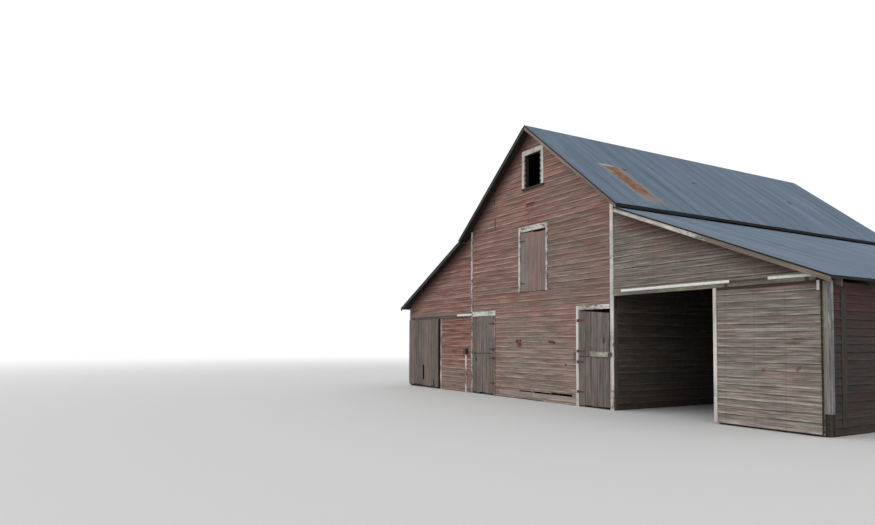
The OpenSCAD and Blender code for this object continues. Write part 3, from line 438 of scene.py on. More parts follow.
# Rolled steel in white paint, rolled steel with a brown skin of rust, forged iron in faded red paint,
# forged iron left bare, and pressed steel in dark enamel that still has some shine
COVER = plain_coat("white_cover", "#d6d6d4 #f2f2f1", 0.5)
STEEL = plain_coat("rail_steel", "#3b332e #5a4e45", 0.7, 0.4)
IRON = plain_coat("red_iron", "#512523 #773a37", 0.75)
HASP = plain_coat("dark_iron", "#3a3837 #575452", 0.6, 0.5)
ENAMEL = plain_coat("box_enamel", "#232224 #343234", 0.5)


# Boards, planks and sheets

def board_tree():
    """A tree that turns each point into one board, from the sizes that the point carries."""
    tree = bpy.data.node_groups.new("boards", "GeometryNodeTree")
    face = tree.interface
    for label, kind in (("Points", "Geometry"), ("Steps", "Int"), ("Origin", "Vector"),
                        ("Along", "Vector"), ("Across", "Vector"), ("Out", "Vector"),
                        ("Bow", "Float"), ("Wear", "Float"), ("Seed", "Float"), ("Stuff", "Material")):
        face.new_socket(label, in_out="INPUT", socket_type="NodeSocket" + kind)
    face.new_socket("Boards", in_out="OUTPUT", socket_type="NodeSocketGeometry")
    given = add(tree, "NodeGroupInput")

    def part(label):
        """The three sizes that a point carries under a name."""
        return add(tree, "SeparateXYZ", add(tree, "GeometryNodeInputNamedAttribute FLOAT_VECTOR", label))

    def between(a, b, share):
        """A value between two others, at a share of the way."""
        return add(tree, "Math MULTIPLY_ADD", add(tree, "Math SUBTRACT", b, a), share, a)

    def wander(scale, amount):
        """A slow noise along the board, for its bow and its worn edges."""
        where = add(tree, "VectorMath MULTIPLY", spot, scale)
        noise = add(tree, "TexNoise", where, shift, 1.0, 2.0, noise_dimensions="4D")
        return add(tree, "Math MULTIPLY", add(tree, "Math SUBTRACT", noise, 0.5), amount)

    unit = add(tree, "GeometryNodeMeshCube", links={"Vertices X": (given, "Steps")})
    share = add(tree, "VectorMath ADD", add(tree, "GeometryNodeInputPosition"), (0.5, 0.5, 0.5))
    unit = add(tree, "GeometryNodeStoreNamedAttribute FLOAT_VECTOR", domain="POINT",
               links={"Geometry": unit, "Name": "unit", "Value": share})
    every = add(tree, "GeometryNodeInstanceOnPoints", links={"Points": (given, "Points"), "Instance": unit})
    every = add(tree, "GeometryNodeRealizeInstances", every)

    at, low, high, skin, back = (part(k) for k in ("unit", "low", "high", "skin", "back"))
    along = between(between((low, "X"), (low, "Y"), (at, "X")),
                    between((high, "X"), (high, "Y"), (at, "X")), (at, "Y"))
    across = between((low, "Z"), (high, "Z"), (at, "Y"))
    out = between(between((back, "X"), (back, "Y"), (at, "Y")),
                  between((skin, "X"), (skin, "Y"), (at, "Y")), (at, "Z"))
    shift = add(tree, "Math ADD", (skin, "Z"), (given, "Seed"))
    spot = add(tree, "CombineXYZ", along, (at, "Y"), 0.0)
    out = add(tree, "Math ADD", out, wander((0.9, 0.8, 0), (given, "Bow")))
    across_worn = add(tree, "Math ADD", across, wander((3.1, 5.0, 0), (given, "Wear")))
    end = (given, "Origin")
    for amount, axis in ((along, "Along"), (across_worn, "Across"), (out, "Out")):
        end = add(tree, "VectorMath ADD", end, add(tree, "VectorMath SCALE", (given, axis), amount))
    # Each board has its own stretch of grain, also where its edge has worn
    own_along = add(tree, "Math MULTIPLY_ADD", (skin, "Z"), 1.7, along)
    own_across = add(tree, "Math MULTIPLY_ADD", (skin, "Z"), 0.37, across)
    own_across = add(tree, "Math ADD", own_across, out)
    grain = add(tree, "CombineXYZ", own_along, own_across, (at, "Y"))
    every = add(tree, "GeometryNodeStoreNamedAttribute FLOAT_VECTOR", domain="POINT",
                links={"Geometry": every, "Name": "grain", "Value": grain})
    every = add(tree, "GeometryNodeSetPosition", links={"Geometry": every, "Position": end})
    every = add(tree, "GeometryNodeSetMaterial", links={"Geometry": every, "Material": (given, "Stuff")})
    add(tree, "NodeGroupOutput", every)
    return tree, {item.name: item.identifier for item in face.items_tree if item.in_out == "INPUT"}


BOARDS, SOCKETS = board_tree()


def row(a0, a1, c0, c1, thick, tone=0.5, paint=0.0, under=0.0, top=None, thin=None, under_top=None):
    """One board: its ends, its edges, its thickness, its tone and paint, and how far its back stands
    off. The ends, the thickness and the back may be others at the upper edge."""
    return {"low": [a0, a1, c0], "high": [*(top or (a0, a1)), c1],
            "skin": [thick, thick if thin is None else thin, 0.0],
            "back": [under, under if under_top is None else under_top, 0.0],
            "tone": tone, "paint": paint}


def place(name, mesh, body, stuff=None, node=None):
    """Makes a piece of the mesh, on a body and with a finish if one is given, over the node that it
    replaces.
    """
    mesh.transform(Matrix.Translation((MID, 0, 0)))
    made = bpy.data.objects.new(name, mesh)
    bpy.context.scene.collection.objects.link(made)
    if stuff:
        mesh.materials.append(stuff)
    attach(made, body)
    if node:
        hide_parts(node)


def lay(name, rows, origin, axes, stuff, body="barn", node=None, bow=0.004, wear=0.004, steps=9,
        seed=1.0):
    """Lays the rows with the board tree and makes one piece of them."""
    points = bpy.data.meshes.new(name)
    points.from_pydata([(0.0, 0.0, 0.0)] * len(rows), [], [])
    for i, each in enumerate(rows):
        each["skin"][2] = (i * 7.31) % 97
    for key in rows[0]:
        kind, field = ("FLOAT", "value") if key in ("tone", "paint") else ("FLOAT_VECTOR", "vector")
        data = points.attributes.new(key, kind, "POINT").data
        for i, each in enumerate(rows):
            setattr(data[i], field, each[key])
    source = bpy.data.objects.new(name + "_points", points)
    bpy.context.scene.collection.objects.link(source)
    laid = source.modifiers.new("boards", "NODES")
    laid.node_group = BOARDS
    for label, value in (("Steps", steps), ("Origin", origin), *zip(("Along", "Across", "Out"), axes),
                         ("Bow", bow), ("Wear", wear), ("Seed", seed), ("Stuff", stuff)):
        laid[SOCKETS[label]] = tuple(float(v) for v in value) if isinstance(value, tuple) else value
    result = source.evaluated_get(bpy.context.evaluated_depsgraph_get())
    mesh = bpy.data.meshes.new_from_object(result)
    bpy.data.objects.remove(source)
    along, across, out = (Vector(way) for way in axes)
    if along.cross(across).dot(out) < 0:
        mesh.flip_normals()
    for spare in ("low", "high", "skin", "back", "unit"):
        mesh.attributes.remove(mesh.attributes[spare])
    place(name, mesh, body, node=node)


def courses(left, right, low, high, paint, holes=(), start=0.01, tones=lambda x, z: (0, 1)):
    """Lap siding between two edges that may slope, cut round holes and butted over the studs."""
    left, right = (edge if callable(edge) else (lambda z, edge=edge: edge) for edge in (left, right))
    rows = []

    def board(a, b, z0, z1, slant=(False, False)):
        """One length, cut to the slope where it ends at the wall's edge."""
        if b - a < 0.02:
            return
        share = lambda z: (z - base) / SHOW
        full = z1 == base + SHOW
        tuck = TUCK if full else 0.0
        top = (left(z1 + tuck) if slant[0] else a, right(z1 + tuck) if slant[1] else b)
        drift = RNG.uniform(-0.0025, 0.0025)
        x = (a + b) / 2
        rows.append(row(a, b, z0 + drift, z1 + tuck + drift, LIP - (LIP - THIN) * share(z0),
                        RNG.uniform(*tones(x, z0)), paint(x, z0) + RNG.gauss(0, 0.05),
                        0.006 * (1 - share(z0)), top, THIN if full else LIP - (LIP - THIN) * share(z1), 0.0))

    k = math.floor((low - start) / SHOW)
    while start + k * SHOW < high - 0.005:
        base = start + k * SHOW
        z0, z1 = max(base, low), min(base + SHOW, high)
        k += 1
        if left(z0) > right(z0) - 0.05:
            continue
        spans = [(left(z0), right(z0), True, True)]
        for x0, x1, h0, h1 in holes:
            if h0 >= z1 - 0.01 or h1 <= z0 + 0.01:
                continue
            cut = []
            for a, b, slant_a, slant_b in spans:
                if x1 <= a or x0 >= b:
                    cut.append((a, b, slant_a, slant_b))
                    continue
                if x0 > a:
                    cut.append((a, x0, slant_a, False))
                if x1 < b:
                    cut.append((x1, b, False, slant_b))
            spans = cut
            if h0 > z0 + 0.02:
                board(x0, x1, z0, h0)
            if h1 < z1 - 0.02:
                board(x0, x1, h1, z1)
        for a, b, slant_a, slant_b in spans:
            while b - a > LONGEST:
                stop = round((a + RNG.uniform(1.8, 4.6)) / STUDS) * STUDS
                board(a, stop - 0.002, z0, z1, (slant_a, False))
                a, slant_a = stop + 0.002, False
            board(a, b, z0, z1, (slant_a, slant_b))
    return rows


# Siding

def gable_half(z):
    """Half the gable's width at a height."""
    return (main_under(X_RIDGE) - z) / MAIN_SLOPE


def lean_edge(s, z):
    """How far out the lean-to's wall reaches at a height."""
    reach = EAVE_OUT + (LEAN_START[s] - LEAN_V[s] - z) / LEAN_SLOPE[s]
    return X_IN[s] + (-1, 1)[s] * max(0.0, min(reach, abs(X_OUT[s] - X_IN[s])))


# The left and right ends of the siding on the gable, between its corner boards, and on the lean-tos
GABLE = (lambda z: max(X_IN[0] + CORNER_W, X_RIDGE - gable_half(z)),
         lambda z: min(X_IN[1] - CORNER_W, X_RIDGE + gable_half(z)))
LEAN_ENDS = ((lambda z: lean_edge(0, z), X_IN[0]), (X_IN[1], lambda z: lean_edge(1, z)))


def front_paint(x, z):
    """More paint high up and to the left, least low down to the right."""
    keep = 0.08 + 0.045 * (z - 3) - 0.035 * x
    if x < X_IN[0] and z < 2.4:
        keep += 0.12
    return keep


def front_siding():
    """The gable wall and the lean-tos' front walls."""
    # A board has broken away over the skirt, and a sliver has split off under the window
    holes = [(*LEFT_DOOR, 0, DOOR_H), (*RIGHT_DOOR, 0, DOOR_H), HAY, WINDOW, (-1.01, -0.42, 0.205, 0.24),
             (-0.38, 0.31, 0.205, 0.25), (0.34, 1.17, 0.205, 0.268), (-0.73, -0.36, 5.465, 5.50)]
    gable = courses(*GABLE, SIDING_FOOT, main_under(X_RIDGE) - 0.02, front_paint, holes,
                    tones=lambda x, z: (0.0, 0.55) if x > 0.3 and 2.6 < z < 4.8 else (0.2, 1.0))
    left = courses(LEFT_BAY[1] + 0.1, X_IN[0], SIDING_FOOT, 2.4, front_paint)
    left += courses(*LEAN_ENDS[0], 2.54, lean_under(0, X_IN[0]) - 0.02, front_paint)
    right = courses(RIGHT_BAY[1], X_OUT[1] - END_W, SIDING_FOOT, 2.7, front_paint)
    right += courses(*LEAN_ENDS[1], 2.88, lean_under(1, X_IN[1]) - 0.02, front_paint,
                     tones=lambda x, z: (-0.1, 0.25))
    for name, rows, stuff, slot in (("front", gable, SIDING, "red_siding"),
                                    ("left_front", left, SIDING, "red_siding"),
                                    ("right_front", right, SIDING_PALE, "weathered_siding")):
        lay(name + "_siding", rows, (0, Y_FRONT, 0), LYING, stuff)


def other_siding():
    """The back and the sides, and the tall part's wall inside the right lean-to."""
    plain = lambda x, z: 0.08
    rows = courses(*GABLE, SIDING_FOOT, main_under(X_RIDGE) - 0.02, plain)
    for s in (0, 1):
        rows += courses(*LEAN_ENDS[s], SIDING_FOOT, lean_under(s, X_IN[s]) - 0.02, plain)
    lay("back_siding", rows, (0, Y_BACK, 0), (RIGHTWARDS, UP, BACKWARDS), SIDING)
    outer, inner = (Y_FRONT + END_W, Y_BACK - END_W), (Y_FRONT + WALL_T, Y_BACK - WALL_T)
    for name, x, ends, high, way, stuff, slot in (
            ("left_side", X_OUT[0], outer, lean_plate(0) - 0.01, LEFTWARDS, SIDING, "red_siding"),
            ("right_side", X_OUT[1], outer, lean_plate(1) - 0.01, RIGHTWARDS, SIDING_SIDE, "red_siding"),
            ("inner", X_IN[1], inner, 4.66, RIGHTWARDS, SIDING_SHADE, "weathered_siding")):
        rows = courses(*ends, SIDING_FOOT, high, plain)
        lay(name + "_siding", rows, (x, 0, 0), (BACKWARDS, UP, way), stuff)


# Trim

def boards(name, axes, rows, stuff, slot, node=None, wear=0.008, y=Y_FRONT, body="barn", steps=30):
    """Upright or lying boards on the front or the back, over the node that they replace."""
    lay(name, [row(*each) for each in rows], (0, y, 0), axes, stuff, body, node, bow=0.002, wear=wear,
        steps=steps, seed=3.0 if axes[0] == UP else 5.0)


def trim():
    """Casings, corner boards and skirts: worn boards whose edges are no longer straight."""
    left, right = X_IN
    tall, head = main_under(left), DOOR_H + 0.11
    boards("corner_boards", UPRIGHT, [(0, 2.40, left + 0.02, left + 0.1, 0.018, 0.9),
                                      (2.54, tall, left + 0.015, left + 0.1, 0.02, 0.8, 0.02),
                                      (0, tall, right - 0.105, right, 0.024, 0.9, 0.1)],
           WHITE_TRIM, "white_trim", "main_corner_boards", 0.006, steps=60)
    boards("back_corner_boards", (UP, RIGHTWARDS, BACKWARDS),
           [(0, tall, *xs, TRIM_T) for xs in ((left, left + CORNER_W), (right - CORNER_W, right))],
           WHITE_TRIM, "white_trim", None, 0.012, Y_BACK, steps=60)

    white, x0, x1, z0, z1 = (WHITE_TRIM, "white_trim"), *WINDOW
    foot, lintel = HAY[2], HAY[3] + 0.15
    for name, axes, stuff, node, wear, *rows in (
            ("left_door_casing", UPRIGHT, (PINK_TRIM, "white_trim"), "door_casings", 0.014,
             (0, 2.39, LEFT_DOOR[1], LEFT_DOOR[1] + 0.09, TRIM_T, 0.4)),
            ("left_door_header", LYING, white, "door_casings", 0.02,
             (LEFT_DOOR[0] - 0.03, LEFT_DOOR[1] + 0.1, 2.393, 2.54, TRIM_T, 1.0, 0.12)),
            ("right_door_casing", UPRIGHT, white, "door_casings", 0.010,
             (0, head, RIGHT_DOOR[0] - 0.085, RIGHT_DOOR[0], TRIM_T, 1.0, 0.16)),
            ("right_door_header", LYING, white, "door_casings", 0.02,
             (*RIGHT_DOOR, DOOR_H, head, TRIM_T, 1.0, 0.06)),
            ("hay_casing", UPRIGHT, white, "hay_door_casing", 0.009,
             (foot, lintel, HAY[0] - 0.07, HAY[0], TRIM_T, 0.8, 0.06),
             (foot, lintel, HAY[1], HAY[1] + 0.08, TRIM_T, 1.0, 0.06)),
            ("hay_header", LYING, white, "hay_door_casing", 0.04,
             (HAY[0], HAY[1], HAY[3] + 0.01, lintel, TRIM_T, 1.0, 0.02)),
            ("window_casing_sides", UPRIGHT, white, "window_casing", 0.005,
             (z0, z1, x0 - 0.145, x0 - 0.045, TRIM_T, 0.7, 0.12),
             (z0, z1, x1 + 0.05, x1 + 0.15, TRIM_T, 0.8, 0.12)),
            ("window_casing_head", LYING, white, "window_casing", 0.012,
             (x0 - 0.145, x1 + 0.15, z1, z1 + 0.14, TRIM_T, 0.9, 0.12)),
            # Stops darkened with painted shade fill the casing to the hole, and a bare sill lies under it,
            # its wood darkened with painted shade
            ("window_stops", UPRIGHT, (EAVE_WOOD, "grey_timber"), "window_casing", 0.0,
             (z0, z1, x0 - 0.05, x0, 0.012, 0.9), (z0, z1, x1, x1 + 0.055, 0.012, 0.1)),
            ("window_sill", LYING, (SIDING_SIDE, "red_siding"), "window_casing", 0.010,
             (x0 - 0.12, x1 + 0.17, z0 - 0.05, z0, 0.06, 0.8)),
            ("left_bay_casing", UPRIGHT, (PINK_TRIM, "grey_trim"), "bay_casing", 0.014,
             (0, 2.39, LEFT_BAY[1] + 0.1, LEFT_BAY[1] + 0.17, 0.022, 0.9, 0.2)),
            ("skirts", LYING, (SKIRT, "weathered_siding"), "skirt_boards", 0.014,
             (-1.97, -0.42, 0.07, 0.21, 0.022, 0.4), (-0.416, 1.335, 0.07, 0.205, 0.022, 0.7),
             (0.045, 1.335, 0.003, 0.04, 0.022, 0.6)),
            ("box_board", UPRIGHT, (WHITE_TRIM, "grey_trim"), "upright_boards", 0.006,
             (0, 1.2, -3.82, -3.74, 0.034, 0.9))):
        boards(name, axes, rows, *stuff, node, wear)
    rows = [row(0.14, 2.53, y, y + 0.075, 0.022, t, -0.2) for y, t in ((-5.76, 0.1), (-5.68, 0.0))]
    lay("side_boards", rows, (X_OUT[1], 0, 0), (UP, BACKWARDS, RIGHTWARDS), LEAF_BACK,
        node="upright_boards", bow=0.002, wear=0.008, steps=30)

    # The outer corners have a board on each side
    for s, way in enumerate((-1, 1)):
        high = lean_plate(s)
        xs = sorted((X_OUT[s], X_OUT[s] - way * END_W))
        for label, face, out in (("front", Y_FRONT, FORWARDS), ("back", Y_BACK, BACKWARDS)):
            name = f"{SIDES[s]}_{label}_end"
            boards(name + "_board", (UP, RIGHTWARDS, out), [(0.39, high, *xs, TRIM_T, 0.45, -0.12)],
                   GREEN_TRIM, "grey_trim", "end_corner_boards", y=face)
            ys = sorted((face + out[1] * TRIM_T, face - out[1] * END_W))
            lay(name + "_side", [row(0.39, high, *ys, TRIM_T, 0.75, 0.12)], (X_OUT[s], 0, 0),
                (UP, BACKWARDS, (way, 0, 0)), BLUE_TRIM, node="end_corner_boards", bow=0.0,
                wear=0.008, steps=30)


# Doors

def planks(edges, low, high, thick, feet=0.0, heads=0.0, paint=0.0, gap=0.008, tones=(), light=(0, 1)):
    """Upright planks between the edges, with feet and heads that aren't cut level."""
    rows = []
    for i, (a, b) in enumerate(zip(edges, edges[1:])):
        foot, head = RNG.uniform(0, feet), RNG.uniform(0, heads)
        skew = RNG.uniform(-0.3, 0.3) * feet
        tone, own = tones[i] if tones else (RNG.uniform(*light), RNG.gauss(0, 0.08))
        rows.append(row(low + foot, high - head, a + gap / 2, b - gap / 2, thick - RNG.uniform(0, 0.004),
                        tone, paint + own, top=(max(low, low + foot + skew), high - head)))
    return rows


def outline_plate(name, outline, y0, y1, body, stuff, bevel=0.0015, node=None):
    """A plate whose outline lies in X and Z, between two places along Y."""
    made = bmesh.new()
    face = made.faces.new([made.verts.new((x, y0, z)) for x, z in outline])
    pulled = bmesh.ops.extrude_face_region(made, geom=[face])
    bmesh.ops.translate(made, vec=(0, y1 - y0, 0),
                        verts=[v for v in pulled["geom"] if isinstance(v, bmesh.types.BMVert)])
    bmesh.ops.recalc_face_normals(made, faces=made.faces)
    bmesh.ops.bevel(made, geom=made.edges[:], offset=bevel, segments=1, affect="EDGES")
    mesh = bpy.data.meshes.new(name)
    made.to_mesh(mesh)
    made.free()
    place(name, mesh, body, stuff, node)


def rounded(x0, x1, z0, z1, r, count=4):
    """A rectangle's outline with rounded corners."""
    spots = []
    for cx, cz, first in ((x1 - r, z1 - r, 0), (x0 + r, z1 - r, 90), (x0 + r, z0 + r, 180),
                          (x1 - r, z0 + r, 270)):
        for i in range(count + 1):
            turn = math.radians(first + 90 * i / count)
            spots.append((cx + r * math.cos(turn), cz + r * math.sin(turn)))
    return spots


def strap_mesh(pin, way, heights, face, eye):
    """Strap hinges: tapered plates with bolt heads, and an eye that is rolled round the pin."""
    made = bmesh.new()

    def ring(at, radius, axis, count=20):
        """Points round an axis along Y or Z."""
        spots = []
        for i in range(count):
            turn = 2 * math.pi * i / count
            a, b = radius * math.cos(turn), radius * math.sin(turn)
            spots.append(made.verts.new(at + (Vector((a, b, 0)) if axis == "Z" else Vector((a, 0, b)))))
        return spots

    def skin(one, two):
        """Faces between two rings of as many points."""
        for i in range(len(one)):
            j = (i + 1) % len(one)
            made.faces.new((one[i], one[j], two[j], two[i]))

    half, plate = 0.028, face - 0.006
    for z in heights:
        outline = [(0, -half), (STRAP_LEN - 0.012, -0.013), (STRAP_LEN, -0.006), (STRAP_LEN, 0.006),
                   (STRAP_LEN - 0.012, 0.013), (0, half)]
        front = [made.verts.new((pin[0] + way * x, plate, z + h)) for x, h in outline]
        rear = [made.verts.new((v.co.x, face, v.co.z)) for v in front]
        made.faces.new(front)
        made.faces.new(rear[::-1])
        skin(front, rear)
        for x in (0.055, 0.11, 0.175):
            spot = Vector((pin[0] + way * x, plate, z))
            low, high = ring(spot, 0.008, "Y", 8), ring(spot - Vector((0, 0.004, 0)), 0.0055, "Y", 8)
            skin(low, high)
            made.faces.new(high)
        if eye:
            rims = [ring(Vector((*pin, z + h)), r, "Z")
                    for h, r in ((-half, 0.0053), (-half, 0.011), (half, 0.011), (half, 0.0053))]
            for one, two in zip(rims, rims[1:] + rims[:1]):
                skin(one, two)
    bmesh.ops.recalc_face_normals(made, faces=made.faces)
    mesh = bpy.data.meshes.new("straps")
    made.to_mesh(mesh)
    made.free()
    return mesh


def leaf(name, rows, ledges, straps, face, body, stuff, iron, wear, back_wear, back_steps):
    """A leaf of upright planks, with ledges on its back and strap hinges on its front."""
    lay(name + "_planks", rows, (0, face + PLANK_T, 0), UPRIGHT, stuff, body, name, bow=0.0, wear=wear,
        steps=12)
    lay(name + "_ledges", ledges, (0, face + 2 * PLANK_T, 0), LYING, LEAF_BACK, body, bow=0.0,
        wear=back_wear, steps=back_steps)
    place(name + "_straps", straps, body, iron)


def small_doors():
    """Two doors, each split into two leaves of ledged planks on strap hinges."""
    for side, (x0, x1), way, edges, light in (
            ("left", LEFT_DOOR, -1, (-3.402, -3.19, -3.02, -2.84, -2.655, -2.47, -2.288), (0.25, 1.15)),
            ("right", RIGHT_DOOR, 1, (1.428, 1.655, 1.87, 2.075, 2.28, 2.482), (0.0, 0.85))):
        # The pins stand 4 mm inside the opening's edge
        pin = (x1 - 0.004 if way < 0 else x0 + 0.004, Y_PIN)
        for part, low, high, feet, paint, straps in (("lower", 0.03, 1.246, 0.03, 0.12, (0.37, 1.116)),
                                                     ("upper", 1.254, 2.402, 0.004, 0.0, (1.384, 2.152))):
            rows = planks(edges, low, high, PLANK_T, feet, 0.004, paint, light=light)
            if part == "upper":
                # The planks hang lower towards one side, which leaves a wedge under the header
                for each in rows:
                    a, b = each["low"][2], each["high"][2]
                    drop = 0.012 + (0.08 * (a - x0) if way > 0 else 0.02 * (x1 - a))
                    each["low"][1] = high - drop
                    each["high"][1] = high - drop - (0.08 if way > 0 else -0.02) * (b - a)
            elif way < 0:
                # One seam has opened from the foot up
                rows[3]["low"][2] += 0.008
            ledges = [row(edges[0] + 0.06, edges[-1] - 0.06, z - LEDGE, z + LEDGE, PLANK_T, RNG.random())
                      for z in straps]
            leaf(f"{side}_door_{part}", rows, ledges, strap_mesh(pin, way, straps, Y_LEAF, True), Y_LEAF,
                 f"{side}_{part}_leaf", PLANKS, IRON, 0.003, 0.002, 6)


def latch():
    """A pale bar over the right door's edge, with an iron hasp at its end."""
    body = "right_upper_leaf"
    boards("latch_board", LYING, [(1.872, 2.5, 1.254, 1.374, 0.025, 0.8, 0.1)], GREEN_TRIM, "grey_trim",
           "latch_bar", 0.006, Y_LEAF, body)
    outline_plate("latch_hasp", rounded(2.46, 2.572, 1.262, 1.366, 0.012), Y_LEAF - 0.029, Y_LEAF - 0.025,
                  body, HASP)
    outline_plate("latch_strap", rounded(2.5, 2.566, 1.285, 1.343, 0.008), Y_LEAF - 0.025, Y_LEAF, body,
                  HASP)


def hay_door():
    """The upper door in the gable: six stained planks, shut, with hinges at the left."""
    edges = [HAY[0] + (HAY[1] - HAY[0]) * i / 6 for i in range(7)]
    tones = ((0.6, -0.35), (0.45, -0.3), (0.75, 0.12), (0.62, 0.08), (0.78, 0.14), (0.6, 0.06))
    rows = planks(edges, HAY[2] + 0.008, HAY[3] - 0.012, PLANK_T, 0.01, 0.01, gap=0.004, tones=tones)
    for each, drop in zip(rows, (0.0, 0.0, 0.01, 0.035, 0.045, 0.04)):
        # The right half has sagged and shows a dark gap under the header
        each["low"][1] -= drop
        each["high"][1] -= drop
    heights, face = (3.25, 4.45), Y_FRONT - 0.006
    ledges = [row(HAY[0], HAY[1], z - LEDGE, z + LEDGE, PLANK_T, 0.4) for z in heights]
    leaf("hay_door", rows, ledges, strap_mesh((HAY[0], 0), 1, heights, face, False), face, "barn",
         PLANKS_PINK, HASP, 0.002, 0.0, 4)


def slide_frame(name, xs, zs, body):
    """The members on the back of a sliding leaf, with one long brace."""
    w = 0.14
    members = [("stiles", UPRIGHT, [(*zs, x, x + w) for x in (xs[0], xs[1] - w)]),
               ("rails", LYING, [(xs[0] + w, xs[1] - w, z, z + w) for z in (zs[0], zs[1] - w)])]
    for label, axes, spans in members:
        lay(f"{name}_{label}", [row(*span, FRAME_T, RNG.random()) for span in spans], (0, Y_SLIDE, 0), axes,
            LEAF_BACK, body, bow=0.0, wear=0.002)
    span, rise = xs[1] - xs[0] - 2 * w, zs[1] - zs[0] - 2 * w
    length = math.hypot(span, rise)
    cx, cz = span / length, rise / length
    lean = w / cz
    brace = [row(lean * cx, length, -lean * cz, 0.0, FRAME_T, 0.4, top=(0.0, length - lean * cx))]
    lay(name + "_brace", brace, (xs[0] + w, Y_SLIDE, zs[0] + w), ((cx, 0, cz), (-cz, 0, cx), FORWARDS),
        LEAF_BACK, body, bow=0.0, wear=0.0)


def left_sliding_door():
    """Rough planks of many widths, hung under the left track."""
    zs = (0.05, 2.39)
    rows = planks((-7.54, -7.34, -7.14, -6.98, -6.83, -6.61, -6.51), *zs, 0.022, 0.06, 0.01,
                  tones=((0.75, 0.25), (0.6, 0.2), (0.3, 0.0), (0.2, 0.0), (0.25, -0.1), (0.55, 0.1)))
    # A sliver is gone from the foot of one plank, and another has split off aslant
    rows += [row(0.05, 0.27, -6.506, -6.40, 0.02), row(0.78, 2.385, -6.506, -6.40, 0.02, 0.5, 0.1)]
    rows += planks((-6.396, -6.10, -5.89, -5.775), *zs, 0.022, 0.05, 0.01,
                   tones=((0.8, 0.2), (0.7, 0.15), (0.3, -0.3)))
    rows += [row(0.36, 2.385, -5.771, -5.62, 0.02, 0.35, -0.2, top=(0.05, 2.385)),
             row(0.05, 2.385, -5.612, -5.45, 0.021, 0.4, 0.15)]
    lay("left_sliding_planks", rows, (0, Y_SLIDE - FRAME_T, 0), UPRIGHT, PLANKS, "left_slider",
        "left_sliding_door", steps=16)
    slide_frame("left_sliding", (-7.54, -5.45), zs, "left_slider")


def right_sliding_door():
    """A sided panel with a white leading stile, hung under the right track."""
    zs, skin, body = (0.03, 2.69), Y_SLIDE - FRAME_T, "right_slider"
    rows = courses(5.455, 7.49, zs[0], zs[1] - 0.045, front_paint, (), 0.089,
                   lambda x, z: (0.6, 1.05) if z < 0.95 else (0.1, 0.8) if z < 1.9 else (0.0, 0.5))
    for each in rows:
        if each["low"][2] < 0.1:
            each["low"][2] = zs[0] + 0.012
    lay("right_sliding_boards", rows, (0, skin, 0), LYING, SIDING_PALE, body,
        "right_sliding_door", wear=0.006, steps=14)
    slide_frame("right_sliding", (5.38, 7.49), zs, body)
    stile = [(0.56, zs[1], 5.38, 5.455, 0.028, 1.0, 0.45), (zs[0], 0.555, 5.38, 5.455, 0.027, 0.9, 0.12),
             (2.52, 2.69, 7.445, 7.487, 0.032, 1.0, 0.6, 0.019)]
    boards("right_sliding_stile", UPRIGHT, stile, WHITE_TRIM, "white_trim", None, 0.006, skin, body)
    boards("right_sliding_strip", LYING, [(5.457, 7.44, zs[1] - 0.043, zs[1], 0.024, 0.5, 0.6)], SIDING_SIDE,
           "red_siding", None, 0.006, skin, body)


def outlet_box():
    """A pressed steel box with a lid that hangs over its sides, and a hinge rib."""
    x0, x1, z0, z1, y = -3.85, -3.69, 1.2, 1.39, Y_FRONT
    for label, outline, front, rear, bevel, node in (
            ("case", rounded(x0 + 0.004, x1 - 0.004, z0 + 0.004, z1 - 0.012, 0.012), 0.084, 0, 0.003,
             "outlet_box"),
            ("lid", rounded(x0, x1, z0, z1 - 0.008, 0.015), 0.1, 0.082, 0.004, None),
            ("rib", rounded(x0 + 0.02, x1 - 0.02, z1 - 0.014, z1, 0.005), 0.096, 0.03, 0.002, None)):
        outline_plate("outlet_" + label, outline, y - front, y - rear, "barn", ENAMEL, bevel,
                      node)


# Roofs

def sheets_down(name, top, length, side, angle, laps, high):
    """Steel sheets down one slope, laid in lengths that lap over each other."""
    down, out = slope_axes(side, angle)
    count = 21
    pitch = (2 * Y_EDGE - 0.08) / count
    rows = []
    for i in range(-1, count + 1):
        c0 = max(-Y_EDGE - 0.006, -Y_EDGE + 0.04 + i * pitch - 0.014)
        c1 = min(Y_EDGE + 0.006, c0 + pitch + 0.024)
        if c1 - c0 < 0.02:
            continue
        stops = [high] + [x + RNG.uniform(-0.02, 0.02) for x in laps] + [length + RNG.uniform(0.0, 0.035)]
        for k in range(len(stops) - 1):
            lift = 0.003 + 0.0012 * (len(stops) - 2 - k) + 0.0006 * (i % 2)
            rows.append(row(stops[k] - (0.08 if k else 0), stops[k + 1], c0, c1, lift, RNG.random(),
                            under=lift - 0.0012))
    lay(name, rows, top, (down, BACKWARDS, out), SHEET, bow=0.001, steps=16)


